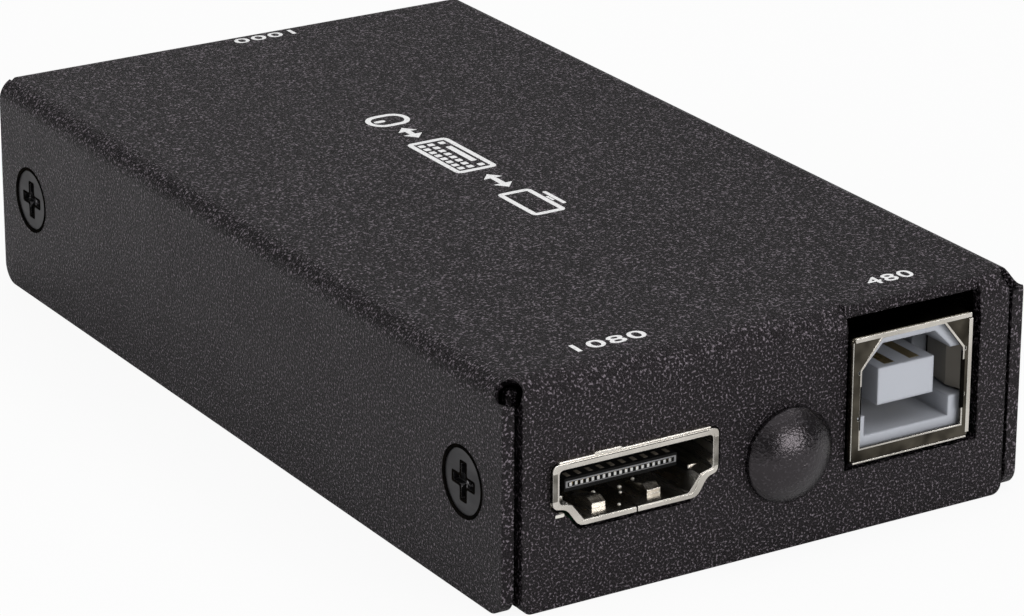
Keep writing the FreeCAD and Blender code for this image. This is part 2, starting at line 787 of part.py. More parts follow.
def springFinger(body, x):
    """A ramp on the shell's floor that grips the plug."""
    floor = "videoBottom + videoSheet"
    start = "videoMouth + videoFingerInset"
    ramp = [(start, "videoBottom + videoSheet / 2"), (start, f"{floor} + videoFingerRise / 2"),
            (f"{start} + videoFingerRise", f"{floor} + videoFingerRise"),
            (f"{start} + videoFingerLong", "videoBottom + videoSheet / 2")]
    extrude(body, "Pad", "YZ", f"{x} - videoFingerWide / 2", f"{x} + videoFingerWide / 2", [ramp])


def videoContactPlaces():
    return rowOf("videoContacts", "videoPitch", "videoX")


def makeVideoInsulator():
    body = newBody("video_socket_insulator")
    extrude(body, "Pad", "XZ", "videoBlockFront", "videoRear", [videoOutline("(-videoSheet)")])
    dress(body, "Fillet", "videoRound - videoSheet", edgesAt("y", videoOutline("(-videoSheet)")))
    tongue = ("videoX - videoTongueWide / 2", "videoX + videoTongueWide / 2")
    extrude(body, "Pad", "XZ", "videoTongueFront", "videoRear",
            [rectangle(tongue, ("videoTongueBottom", "videoTongueTop"))])
    slots = [rectangle((f"{x} - videoContactWide / 2", f"{x} + videoContactWide / 2"),
                       ("videoContactZ", "videoContactZ + videoContactHigh"))
             for x in videoContactPlaces()]
    extrude(body, "Pocket", "XZ", "videoTongueFront", "videoRear", slots)
    row = "(videoContacts * videoPitch / 2)"
    extrude(body, "Pocket", "XZ", "videoTongueFront + videoTongueLip", "videoBlockFront",
            [rectangle((f"videoX - {row}", f"videoX + {row}"), ("videoTongueBottom", "videoContactZ"))])
    return body


def makeVideoContacts():
    """Each contact runs back along the tongue, turns down and ends in a foot on the board."""
    thick = "videoContactHigh"
    shape = [("videoTongueFront + videoContactHigh / 2", "videoContactZ"), ("videoRear", "videoContactZ"),
             ("videoRear", "boardTop"), ("videoRear + videoFoot", "boardTop"),
             ("videoRear + videoFoot", f"boardTop + {thick}"),
             (f"videoRear + {thick}", f"boardTop + {thick}"),
             (f"videoRear + {thick}", f"videoContactZ + {thick}"),
             ("videoTongueFront + videoContactHigh / 2", f"videoContactZ + {thick}")]
    contact = newBody("video_contact_form")
    extrude(contact, "Pad", "YZ", "-videoContactWide / 2", "videoContactWide / 2", [shape])
    return repeated("video_socket_contacts", [(contact, "Z", (x, "0", "0")) for x in videoContactPlaces()])


# Data socket

def slopedOpening(wide, high, slopeWide, slopeHigh):
    """An upright opening whose two upper corners are cut off."""
    left, right = f"dataX - {wide} / 2", f"dataX + {wide} / 2"
    low, top = f"dataMiddle - {high} / 2", f"dataMiddle + {high} / 2"
    return [(left, low), (right, low), (right, f"{top} - {slopeHigh}"), (f"{right} - {slopeWide}", top),
            (f"{left} + {slopeWide}", top), (left, f"{top} - {slopeHigh}")]


def dataLegs():
    """The reach in X and in Y of the shell's two legs."""
    return [((x, f"{x} + dataSheet"), ("dataLegY - dataLegWide / 2", "dataLegY + dataLegWide / 2"))
            for x in ("dataLeft", "dataRight - dataSheet")]


def dataPinPlaces():
    return [(x, y) for x in rowOf("2", "2 * dataContactX", "dataX")
            for y in ("dataBlockRear + dataContactThick / 2",
                      "dataBlockRear + dataPinRow + dataContactThick / 2")]


def makeDataShell():
    body = newBody("data_socket_shell")
    inside = (("dataLeft + dataSheet", "dataRight - dataSheet"),
              ("boardTop + dataSheet", "dataTop - dataSheet"))
    extrude(body, "Pad", "XZ", "dataMouth", "dataRear",
            [rectangle(("dataLeft", "dataRight"), ("boardTop", "dataTop"))])
    sides, levels = ("dataLeft", "dataRight"), ("boardTop", "dataTop")
    dress(body, "Fillet", "dataRound", edgesAt("y", [(x, z) for x in sides for z in levels]),
          edgesAt("x", [("dataMouth", z) for z in levels]), edgesAt("z", [(x, "dataMouth") for x in sides]))
    extrude(body, "Pocket", "XZ", "dataMouth + dataSheet", "dataRear", [rectangle(*inside)])
    mouth = slopedOpening("dataMouthWide", "dataMouthHigh", "dataMouthSlopeWide", "dataMouthSlopeHigh")
    extrude(body, "Pocket", "XZ", "dataMouth", "dataMouth + dataSheet", [mouth])
    extrude(body, "Pocket", "XY", "boardTop", "boardTop + dataSheet",
            [rectangle(("dataLeft + 2 * dataSheet", "dataRight - 2 * dataSheet"),
                       ("dataBlockRear", "dataRear"))])
    for x, y in dataLegs():
        extrude(body, "Pad", "XY", "pinEnd", "boardTop + 2 * dataRound", [rectangle(x, y)])
    for sign in (-1, 1):
        dataSpring(body, sign)
    return body


def dataSpring(body, sign):
    """A spring pressed in from a side wall, with a notch in the bezel at each of its ends."""
    wall = f"dataX + {sign} * (dataWide / 2 - dataSheet / 2)"
    inner = f"dataX + {sign} * (dataWide / 2 - dataSheet - dataSpringBow)"
    bow = [(wall, "dataBlockFront"), (inner, "dataBlockFront + dataSpringLong / 3"),
           (wall, "dataBlockFront + dataSpringLong")]
    extrude(body, "Pad", "XY", "dataMiddle - dataSpringHigh / 2", "dataMiddle + dataSpringHigh / 2", [bow])
    edge = f"dataX + {sign} * (dataMouthWide / 2 + dataNotch)"
    opening = f"dataX + {sign} * (dataMouthWide / 2 - dataNotch)"
    notches = [rectangle((edge, opening), (f"{z} - dataNotch / 2", f"{z} + dataNotch / 2"))
               for z in rowOf("2", "dataSpringHigh", "dataMiddle")]
    extrude(body, "Pocket", "XZ", "dataMouth", "dataMouth + dataSheet", notches)


def makeDataInsulator():
    body = newBody("data_socket_insulator")
    outside = rectangle(("dataLeft + dataSheet", "dataRight - dataSheet"),
                        ("boardTop + dataSheet", "dataTop - dataSheet"))
    cavity = slopedOpening("dataCavityWide", "dataCavityHigh", "dataCavitySlope", "dataCavitySlope")
    extrude(body, "Pad", "XZ", "dataBlockFront", "dataBlockRear", [outside])
    extrude(body, "Pocket", "XZ", "dataBlockFront", "dataFloor", [cavity])
    tongue = rectangle(("dataX - dataTongueWide / 2", "dataX + dataTongueWide / 2"),
                       ("dataTongueBottom", "dataTongueTop"))
    extrude(body, "Pad", "XZ", "dataTongueFront", "dataBlockRear", [tongue])
    for sign in (-1, 1):
        window = rectangle((f"dataX + {sign} * (dataCavityWide / 2 - dataSpringPlay)",
                            f"dataX + {sign} * dataWide / 2"),
                           ("dataBlockFront", "dataBlockFront + dataSpringLong + dataSpringPlay"))
        extrude(body, "Pocket", "XY", "dataMiddle - dataSpringHigh / 2 - dataSpringPlay",
                "dataMiddle + dataSpringHigh / 2 + dataSpringPlay", [window])
    grooves = [rectangle((f"{x} - dataContactWide / 2", f"{x} + dataContactWide / 2"), (low, high))
               for x in rowOf("2", "2 * dataContactX", "dataX")
               for low, high in (("dataTongueBottom", "dataTongueBottom + dataContactThick"),
                                 ("dataTongueTop - dataContactThick", "dataTongueTop"))]
    extrude(body, "Pocket", "XZ", "dataTongueFront + dataTongueLip", "dataBlockRear", grooves)
    return body


def dataContactForm(name, level, riser):
    """A flat contact at one level of the tongue that turns down to a pin through the board."""
    tip = "dataTongueFront + dataTongueLip"
    top = f"{level} + dataContactThick"
    shape = [(tip, level), (riser, level), (riser, "pinEnd"), (f"{riser} + dataContactThick", "pinEnd"),
             (f"{riser} + dataContactThick", top), (tip, top)]
    contact = newBody(name)
    extrude(contact, "Pad", "YZ", "-dataContactWide / 2", "dataContactWide / 2", [shape])
    return contact


def makeDataContacts():
    lower = dataContactForm("data_contact_low", "dataTongueBottom", "dataBlockRear")
    upper = dataContactForm("data_contact_high", "dataTongueTop - dataContactThick",
                            "dataBlockRear + dataPinRow")
    return repeated("data_socket_contacts", [(form, "Z", (x, "0", "0")) for form in (lower, upper)
                                             for x in rowOf("2", "2 * dataContactX", "dataX")])


# Network jack

def jackLegs():
    """The reach in X and in Y of the shield's two legs."""
    return [((x, f"{x} + jackSheet"), ("jackLegY - jackLegWide / 2", "jackLegY + jackLegWide / 2"))
            for x in ("jackLeft", "jackRight - jackSheet")]


def jackTailPlaces():
    """The contacts' tails stand in two staggered rows."""
    rows = ("jackTailY", "jackTailY + jackTailRow")
    return [(x, rows[number % 2]) for number, x in enumerate(rowOf("jackContacts", "jackPitch", "jackX"))]


def lensPlaces():
    return rowOf("2", "2 * jackLensX", "jackX")


def makeJackShield():
    body = newBody("network_jack_shield")
    extrude(body, "Pad", "XZ", "jackBack", "jackMouth",
            [rectangle(("jackLeft", "jackRight"), ("boardTop", "jackTop"))])
    corners = [(x, "jackTop") for x in ("jackLeft", "jackRight")]
    dress(body, "Fillet", "2 * jackSheet", edgesAt("y", corners))
    extrude(body, "Pocket", "XZ", "jackBack + jackSheet", "jackMouth - jackSheet",
            [rectangle(("jackLeft + jackSheet", "jackRight - jackSheet"),
                       ("boardTop", "jackTop - jackSheet"))])
    inner = [("jackLeft + jackSheet", "jackTop - jackSheet"),
             ("jackRight - jackSheet", "jackTop - jackSheet")]
    dress(body, "Fillet", "jackSheet", edgesAt("y", inner))
    extrude(body, "Pocket", "XZ", "jackMouth - jackSheet", "jackMouth",
            [rectangle(("jackLeft + jackFrame", "jackRight - jackFrame"),
                       ("boardTop", "jackTop - jackFrame"))])
    for x, y in jackLegs():
        extrude(body, "Pad", "XY", "pinEnd", "boardTop + jackFrame", [rectangle(x, y)])
    return body


def makeJackHousing():
    body = newBody("network_jack_housing")
    inner = [("jackLeft + jackSheet", "jackTop - jackSheet"),
             ("jackRight - jackSheet", "jackTop - jackSheet")]
    extrude(body, "Pad", "XZ", "jackBack + jackSheet", "jackMouth - jackSheet",
            [rectangle(("jackLeft + jackSheet", "jackRight - jackSheet"),
                       ("boardTop", "jackTop - jackSheet"))])
    dress(body, "Fillet", "jackSheet", edgesAt("y", inner))
    half, latch, key = "jackPlugWide / 2", "jackLatchWide / 2", "jackKeyWide / 2"
    floor = "jackPlugBottom"
    rightSide = [(half, "jackPlugTop"), (half, floor), (latch, floor), (latch, f"{floor} - jackLatchHigh"),
                 (key, f"{floor} - jackLatchHigh"), (key, f"{floor} - jackLatchHigh - jackKeyHigh")]
    cavity = [(f"jackX + {x}", z) for x, z in rightSide]
    cavity += [(f"jackX - {x}", z) for x, z in reversed(rightSide)]
    extrude(body, "Pocket", "XZ", "jackPlugEnd", "jackMouth", [cavity])
    comb = ("jackX - jackRowHalf", "jackX + jackRowHalf")
    extrude(body, "Pocket", "XZ", "jackTailY - jackContactThick", "jackMouth - jackContactInset",
            [rectangle(comb, ("jackPlugTop", "jackCombTop"))])
    extrude(body, "Pocket", "XY", "boardTop", "jackCombTop",
            [rectangle(comb, ("jackTailY - jackContactThick",
                              "jackTailY + jackTailRow + jackContactThick"))])
    lenses = [rectangle((f"{x} - jackLensWide / 2", f"{x} + jackLensWide / 2"),
                        ("boardTop + jackLensLift", "boardTop + jackLensLift + jackLensHigh"))
              for x in lensPlaces()]
    extrude(body, "Pocket", "XZ", "jackMouth - jackSheet - jackLensDeep", "jackMouth", lenses)
    return body


def jackContactForm(name, tail):
    """A spring wire: down from the plug's ceiling at a slope, back along the ceiling, then
    down to its tail through the board."""
    thick = "jackContactThick"
    bend = "jackMouth - jackContactInset"
    under = f"jackCombTop - {thick}"
    free = ("(jackMouth - jackContactInset - jackContactLong)", "(jackPlugTop - jackContactDip)")
    shape = [(f"{tail} - {thick} / 2", "pinEnd"), (f"{tail} + {thick} / 2", "pinEnd"),
             (f"{tail} + {thick} / 2", under), (f"{bend} - 4 * {thick}", under),
             (free[0], free[1]), (free[0], f"{free[1]} - {thick}"),
             (f"{free[0]} + {thick}", f"{free[1]} - {thick}"),
             (bend, f"{under} - {thick} / 2"), (bend, "jackCombTop"),
             (f"{tail} - {thick} / 2", "jackCombTop")]
    contact = newBody(name)
    extrude(contact, "Pad", "YZ", "-jackContactWide / 2", "jackContactWide / 2", [shape])
    return contact


def makeJackContacts():
    forms = [jackContactForm("jack_contact_far", "jackTailY"),
             jackContactForm("jack_contact_near", "jackTailY + jackTailRow")]
    return repeated("network_jack_contacts", [(forms[number % 2], "Z", (x, "0", "0")) for number, x
                                              in enumerate(rowOf("jackContacts", "jackPitch", "jackX"))])


def makeJackLenses():
    lens = block("lens_form", ("-jackLensWide / 2", "jackLensWide / 2"), ("-jackLensDeep", "jackSheet / 2"),
                 ("0", "jackLensHigh"))
    return repeated("network_jack_lenses", [(lens, "Z", (x, "jackMouth - jackSheet",
                                                         "boardTop + jackLensLift"))
                                            for x in lensPlaces()])


# Parts on the board

def makeChips():
    processorY = "(front + processorBack)"
    return [
        chip("video_processor", "processorX", processorY, "processorSide", "processorSide",
             "processorHigh"),
        chip("network_controller", "(controllerInset - boardSide)", "rearChipY", "controllerSide",
             "controllerSide", "controllerHigh"),
        chip("power_regulator", "regulatorX", processorY, "regulatorSide", "regulatorSide",
             "regulatorHigh"),
        chip("memory_chip", "(boardSide - memoryInset)", "rearChipY", "memoryWide", "memoryLong",
             "memoryHigh"),
        chip("network_transformer", "jackX", "rearChipY", "transformerWide", "transformerLong",
             "transformerHigh"),
    ]


def leadForm(name):
    """A flat lead that leaves its package, steps down and lies on the board."""
    shape = [("0", "leadRise"), ("leadOut / 2", "leadRise"), ("leadOut / 2", "leadThick"),
             ("leadOut", "leadThick"), ("leadOut", "0"), ("leadOut / 2 - leadThick", "0"),
             ("leadOut / 2 - leadThick", "leadRise - leadThick"), ("0", "leadRise - leadThick")]
    lead = newBody(name)
    extrude(lead, "Pad", "YZ", "-leadWide / 2", "leadWide / 2", [shape])
    return lead


def makeLeads(name, lead, count, pitch, x, long):
    """Two rows of leads along the front and the rear of a package."""
    places = rowOf(count, pitch, x)
    rear = [(lead, "Z", (place_, f"rearChipY + {long} / 2", "boardTop")) for place_ in places]
    front = [(lead, "turned", (place_, f"rearChipY - {long} / 2", "boardTop")) for place_ in places]
    return repeated(name, rear + front)


def makePowerParts():
    coil = newBody("power_inductor")
    half = "inductorSide / 2"
    middle = ("inductorX", "(front + inductorBack)")
    reach = [(f"{one} - {half}", f"{one} + {half}") for one in middle]
    extrude(coil, "Pad", "XY", "boardTop", "boardTop + inductorHigh", [rectangle(*reach)])
    dress(coil, "Fillet", "inductorRound", edgesAt("z", [(x, y) for x in reach[0] for y in reach[1]]))
    foot = block("can_foot", ("-canRadius", "canRadius"), ("-canRadius", "canRadius"), ("0", "canFootHigh"))
    can = joined("can_form", foot, rod("can_drum", "Z", ("0", "0", "0"), "canRadius * 0.96", "canHigh"))
    cans = repeated("filter_capacitors", [(can, "Z", ("canX", y, "boardTop"))
                                          for y in rowOf("canCount", "canPitch",
                                                         "front + canBack + canPitch / 2")])
    crystal = block("crystal_form", ("-crystalWide / 2", "crystalWide / 2"),
                    ("-crystalLong / 2", "crystalLong / 2"),
                    ("0", "crystalHigh"))
    crystals = repeated("clock_crystals", [(crystal, "Z", ("regulatorX", "front + crystalBack",
                                                           "boardTop")),
                                           (crystal, "Z", ("regulatorX + 2 * crystalWide",
                                                           "chipRowY + 2 * chipRowGap",
                                                           "boardTop"))])
    return [coil, cans, crystals]


def makeSmallParts():
    """Rows of small parts on the board: capacitors, resistors, surge protectors and chokes."""
    def standing(name, wide, long, high, places):
        form = block(name + "_form", (f"-{wide} / 2", f"{wide} / 2"), (f"-{long} / 2", f"{long} / 2"),
                     ("0", high))
        return repeated(name, [(form, "Z", (x, y, "boardTop")) for x, y in places])

    row = rowOf("chipCount", "chipPitch", "0")
    capacitors = [(x, f"chipRowY + {number} * chipRowGap") for number in (0, 1) for x in row]
    resistors = [(x, "chipRowY + chipRowGap / 2") for x in row]
    protectors = [(x, "(front + protectorBack)")
                  for x in rowOf("protectorCount", "protectorPitch", "(videoX + protectorWide)")]
    chokes = [(x, "(dataRear + chokeGap)") for x in rowOf("chokeCount", "chokePitch",
                                                          "(dataX - chokeLong)")]
    return [standing("chip_capacitors", "chipWide", "chipLong", "capHigh", capacitors),
            standing("chip_resistors", "chipWide", "chipLong", "resistorHigh", resistors),
            standing("surge_protectors", "protectorWide", "protectorLong", "protectorHigh", protectors),
            standing("line_chokes", "chokeWide", "chokeLong", "chokeHigh", chokes)]


# Finish

def check(parts):
    for thing in doc.Objects:
        if "Invalid" in thing.State or "Error" in thing.State:
            raise RuntimeError(f"{thing.Name} did not compute: {thing.State}")
    for part in parts:
        if part.Shape.isNull() or not part.Shape.isValid():
            raise RuntimeError(f"{part.Label} has no valid shape")


def makeAll():
    parts = [makeTopCover(), makeBaseTray(), makeSideScrews(), makeStandoffs(), makeBoardScrews(),
             makeCircuitBoard(), makeHolePlug(), makeVideoShell(), makeVideoInsulator(),
             makeVideoContacts(),
             makeDataShell(), makeDataInsulator(), makeDataContacts(), makeJackShield(), makeJackHousing(),
             makeJackContacts(), makeJackLenses()]
    lead = leadForm("lead_form")
    parts += makeChips()
    parts += [makeLeads("memory_chip_leads", lead, "memoryLeads", "memoryPitch",
                        "(boardSide - memoryInset)",
                        "memoryLong"),
              makeLeads("network_transformer_leads", lead, "transformerLeads", "transformerPitch", "jackX",
                        "transformerLong")]
    return parts + makePowerParts() + makeSmallParts()


def main():
    parts = makeAll()
    doc.recompute()
    check(parts)
    os.makedirs("parts", exist_ok=True)
    for part in parts:
        part.Shape.exportStep(f"parts/{part.Label}.step")
        print(part.Label, len(part.Shape.Solids), round(part.Shape.Volume, 2))


main()
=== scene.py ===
import math

import bmesh
import bpy
from mathutils import Matrix, Vector


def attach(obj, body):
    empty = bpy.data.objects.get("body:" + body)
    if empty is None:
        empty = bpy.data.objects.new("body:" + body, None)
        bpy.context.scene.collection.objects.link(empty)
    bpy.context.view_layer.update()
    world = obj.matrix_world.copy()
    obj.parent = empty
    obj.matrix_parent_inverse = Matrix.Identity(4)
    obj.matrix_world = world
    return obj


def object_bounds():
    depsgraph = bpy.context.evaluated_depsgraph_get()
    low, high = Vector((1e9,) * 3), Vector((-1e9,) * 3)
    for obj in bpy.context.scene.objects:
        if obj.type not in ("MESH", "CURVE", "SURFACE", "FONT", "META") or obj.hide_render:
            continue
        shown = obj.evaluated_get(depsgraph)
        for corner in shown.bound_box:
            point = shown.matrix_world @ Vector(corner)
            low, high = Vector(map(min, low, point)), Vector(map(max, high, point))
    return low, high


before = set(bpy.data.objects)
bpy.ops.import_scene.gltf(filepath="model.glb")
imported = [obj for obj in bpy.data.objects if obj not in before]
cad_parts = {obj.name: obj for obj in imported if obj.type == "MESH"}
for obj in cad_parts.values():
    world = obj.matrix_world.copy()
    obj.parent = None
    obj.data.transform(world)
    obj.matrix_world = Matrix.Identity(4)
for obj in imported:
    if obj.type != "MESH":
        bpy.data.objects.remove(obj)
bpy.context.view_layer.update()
mm = 0.001


# Shader pieces

noiseSpan = (0.3, 0.7)  # where nearly all of a noise's values lie
edgeSamples = 4


def newMaterial(name):
    material = bpy.data.materials.new(name)
    material.use_nodes = True
    tree = material.node_tree
    shader = tree.nodes["Principled BSDF"]
    coordinates = tree.nodes.new("ShaderNodeTexCoord")
    return material, tree, shader, coordinates.outputs["Object"]


def noise(tree, source, scale, detail=2.0, roughness=0.5):
    node = tree.nodes.new("ShaderNodeTexNoise")
    node.inputs["Scale"].default_value = scale
    node.inputs["Detail"].default_value = detail
    node.inputs["Roughness"].default_value = roughness
    tree.links.new(source, node.inputs["Vector"])
    return node.outputs["Fac"]


def ramp(tree, source, positions, colours):
    node = tree.nodes.new("ShaderNodeValToRGB")
    elements = node.color_ramp.elements
    while len(elements) < len(positions):
        elements.new(0.5)
    for element, position, colour in zip(elements, positions, colours):
        element.position = position
        element.color = (*colour, 1.0)
    tree.links.new(source, node.inputs["Fac"])
    return node.outputs["Color"]


def mapRange(tree, source, low, high, toLow, toHigh):
    node = tree.nodes.new("ShaderNodeMapRange")
    for name, value in (("From Min", low), ("From Max", high), ("To Min", toLow), ("To Max", toHigh)):
        node.inputs[name].default_value = value
    tree.links.new(source, node.inputs["Value"])
    return node.outputs["Result"]


def math2(tree, operation, first, second):
    node = tree.nodes.new("ShaderNodeMath")
    node.operation = operation
    for socket, value in zip(node.inputs, (first, second)):
        if isinstance(value, (int, float)):
            socket.default_value = value
        else:
            tree.links.new(value, socket)
    return node.outputs["Value"]


def mixColour(tree, share, first, second):
    node = tree.nodes.new("ShaderNodeMix")
    node.data_type = "RGBA"
    tree.links.new(share, node.inputs["Factor"])
    tree.links.new(first, node.inputs["A"])
    node.inputs["B"].default_value = (*second, 1.0)
    return node.outputs["Result"]


def bump(tree, shader, source, distance, strength=1.0, under=None):
    node = tree.nodes.new("ShaderNodeBump")
    node.inputs["Distance"].default_value = distance
    node.inputs["Strength"].default_value = strength
    tree.links.new(source, node.inputs["Height"])
    if under is not None:
        tree.links.new(under, node.inputs["Normal"])
    tree.links.new(node.outputs["Normal"], shader.inputs["Normal"])


def roundedEdge(tree, radius):
    node = tree.nodes.new("ShaderNodeBevel")
    node.samples = edgeSamples
    node.inputs["Radius"].default_value = radius
    return node.outputs["Normal"]


def edgeShare(tree, rounded, low, high):
    # nought on open faces, one along edges
    true = tree.nodes.new("ShaderNodeNewGeometry")
    dot = tree.nodes.new("ShaderNodeVectorMath")
    dot.operation = "DOT_PRODUCT"
    tree.links.new(true.outputs["Normal"], dot.inputs[0])
    tree.links.new(rounded, dot.inputs[1])
    away = math2(tree, "SUBTRACT", 1.0, dot.outputs["Value"])
    return mapRange(tree, away, low, high, 0.0, 1.0)


def stretched(tree, place, scale):
    node = tree.nodes.new("ShaderNodeMapping")
    node.inputs["Scale"].default_value = scale
    tree.links.new(place, node.inputs["Vector"])
    return node.outputs["Vector"]


def setColour(tree, shader, colour):
    tree.links.new(colour, shader.inputs["Base Color"])


def varyRoughness(tree, shader, source, low, high):
    tree.links.new(mapRange(tree, source, *noiseSpan, low, high), shader.inputs["Roughness"])


# Baked powder paint: a fine hammered grain, with painted shade in the grain's valleys, painted highlight on
# the grain's tops and painted highlight along the edges

paint = {
    # painted shade in the grain's valleys, the paint's own colour, then painted highlight on the grain's tops
    "grainShade": (0.0010, 0.0008, 0.0010),
    "colour": (0.0050, 0.0040, 0.0049),
    "grainGlint": (0.200, 0.172, 0.196),
    "stops": (0.45, 0.555, 0.66),
    # painted highlight along the edges: its colour, then how near an edge and how high in the grain it shows
    "edgeGlint": (0.15, 0.14, 0.15),
    "glintEdge": (0.10, 0.4),
    "glintGrain": (0.48, 0.62),
    "grain": 4800.0,
    "fine": 2.3,  # the scale of the second grain, as a multiple of the first
    "shares": (0.7, 0.3),  # how much each grain counts
    "patches": 160.0,
    "depth": 0.00019,
    "roughness": 0.36,
    "spread": (0.03, 0.04),  # how far the roughness strays down and up
    "gloss": 0.24,
    "edge": 0.00022,
    "tint": (1.0, 0.90, 0.96),
}

# The plug's plastic has the same build with other values, its painted shade and painted highlights included.
plug = dict(
    paint,
    # the plug's painted shade and painted highlight on its grain
    grainShade=(0.0015, 0.0013, 0.0016),
    colour=(0.004, 0.0036, 0.0042),
    grainGlint=(0.03, 0.028, 0.031),
    grain=4600.0,
    depth=0.000065,
    gloss=0.62,
    roughness=0.18,
)


def powderCoat(name, settings):
    material, tree, shader, place = newMaterial(name)
    coarse = noise(tree, place, settings["grain"], detail=1.0, roughness=0.45)
    fine = noise(tree, place, settings["grain"] * settings["fine"], detail=1.0)
    coarseShare, fineShare = settings["shares"]
    grain = math2(tree, "ADD", math2(tree, "MULTIPLY", coarse, coarseShare),
                  math2(tree, "MULTIPLY", fine, fineShare))
    # painted shade in the valleys and painted highlight on the tops of the grain
    looks = (settings["grainShade"], settings["colour"], settings["grainGlint"])
    grainGlint = ramp(tree, grain, settings["stops"], looks)
    rounded = roundedEdge(tree, settings["edge"])
    # painted highlight along the edges, where the grain stands high
    glintShare = math2(tree, "MULTIPLY", edgeShare(tree, rounded, *settings["glintEdge"]),
                   mapRange(tree, grain, *settings["glintGrain"], 0.0, 1.0))
    setColour(tree, shader, mixColour(tree, glintShare, grainGlint, settings["edgeGlint"]))
    patches = noise(tree, place, settings["patches"], detail=3.0)
    down, up = settings["spread"]
    varyRoughness(tree, shader, patches, settings["roughness"] - down, settings["roughness"] + up)
    shader.inputs["Specular IOR Level"].default_value = settings["gloss"]
    shader.inputs["Specular Tint"].default_value = (*settings["tint"], 1.0)
    bump(tree, shader, grain, settings["depth"], under=rounded)
    return material


# Moulded plastics, faintly cloudy

plastic = {
    "grain": 3500.0,
    "depth": 0.00001,
    "strength": 0.6,
    "edge": 0.0001,
    "cloud": 260.0,
    "stops": (0.3, 0.75),
    "lighter": (1.12, 0.002),  # multiplied by, then added
    "spread": (0.04, 0.05),  # how far the roughness strays down and up
}

plastics = {
    # finish: material, colour, roughness, gloss
    "spring": ("spring_grey", (0.23, 0.21, 0.18), 0.4, 0.5),
    "well": ("well_brown", (0.12, 0.105, 0.085), 0.5, 0.5),
    # painted highlight: a pale plastic standing for glints on the video socket's shell
    "pip": ("pip_pale", (0.80, 0.78, 0.71), 0.4, 0.5),
    "board": ("board_laminate", (0.012, 0.08, 0.036), 0.35, 0.5),
    "dark": ("socket_black", (0.006, 0.006, 0.006), 0.5, 0.1),
    # painted highlight: grey for the lit edges of the black video tongue
    "strip": ("tongue_grey", (0.26, 0.26, 0.27), 0.5, 0.5),
    "lens": ("lens_clear", (0.6, 0.64, 0.62), 0.2, 0.5),
    "chip": ("chip_black", (0.03, 0.03, 0.03), 0.5, 0.5),
    "ferrite": ("ferrite_grey", (0.1, 0.1, 0.1), 0.6, 0.5),
    "ceramic": ("ceramic_tan", (0.4, 0.29, 0.19), 0.3, 0.5),
}


def mouldedPlastic(name, colour, roughness, gloss):
    material, tree, shader, place = newMaterial(name)
    fine = noise(tree, place, plastic["grain"])
    cloud = noise(tree, place, plastic["cloud"])
    factor, extra = plastic["lighter"]
    lighter = tuple(min(1.0, c * factor + extra) for c in colour)
    setColour(tree, shader, ramp(tree, cloud, plastic["stops"], (colour, lighter)))
    down, up = plastic["spread"]
    varyRoughness(tree, shader, cloud, roughness - down, roughness + up)
    shader.inputs["Specular IOR Level"].default_value = gloss
    bump(tree, shader, fine, plastic["depth"], plastic["strength"], roundedEdge(tree, plastic["edge"]))
    return material


# The square socket's pale moulding, with painted shade that greys it deep inside

paleMoulding = {
    "colour": (0.50, 0.52, 0.57),
    # painted shade: how much of the colour is left deep inside, at least and at most
    "deep": (0.50, 0.56),  # how much of the colour is left there, at least and at most
    "reach": 0.005,
    "samples": 8,
    # the occlusion at which the painted shade is full, and at which it is gone
    "open": (0.05, 0.6),  # how open a place is when it's fully deep and not deep at all
    "roughness": 0.4,
    "grain": 3000.0,
    "depth": 0.000008,
    "edge": 0.00035,
}


def socketPlastic(name):
    settings = paleMoulding
    colour, roughness = settings["colour"], settings["roughness"]
    material, tree, shader, place = newMaterial(name)
    fine = noise(tree, place, settings["grain"])
    cloud = noise(tree, place, plastic["cloud"])
    # painted shade: occlusion darkens the colour deep inside the socket
    shadeProbe = tree.nodes.new("ShaderNodeAmbientOcclusion")
    shadeProbe.samples = settings["samples"]
    shadeProbe.inputs["Distance"].default_value = settings["reach"]
    unshadedShare = mapRange(tree, shadeProbe.outputs["AO"], *settings["open"], 0.0, 1.0)
    # the colour under the painted shade, with a faint cloud
    looks = [tuple(c * share for c in colour) for share in settings["deep"]]
    deep = ramp(tree, cloud, plastic["stops"], looks)
    setColour(tree, shader, mixColour(tree, unshadedShare, deep, colour))
    down, up = plastic["spread"]
    varyRoughness(tree, shader, cloud, roughness - down, roughness + up)
    bump(tree, shader, fine, settings["depth"], plastic["strength"], roundedEdge(tree, settings["edge"]))
    return material


# Metals, with fine streaks, cloudy patches and painted highlight along the edges

metal = {
    "streaks": 900.0,
    "stretch": (1.0, 0.12, 1.0),
    "depth": 0.000006,
    "strength": 0.5,
    "stops": (0.32, 0.68),
    # where the painted edge highlight starts and where it is full
    "glintEdge": (0.02, 0.2),
    "spread": (0.8, 1.3),  # the least and the most roughness, as a multiple
}

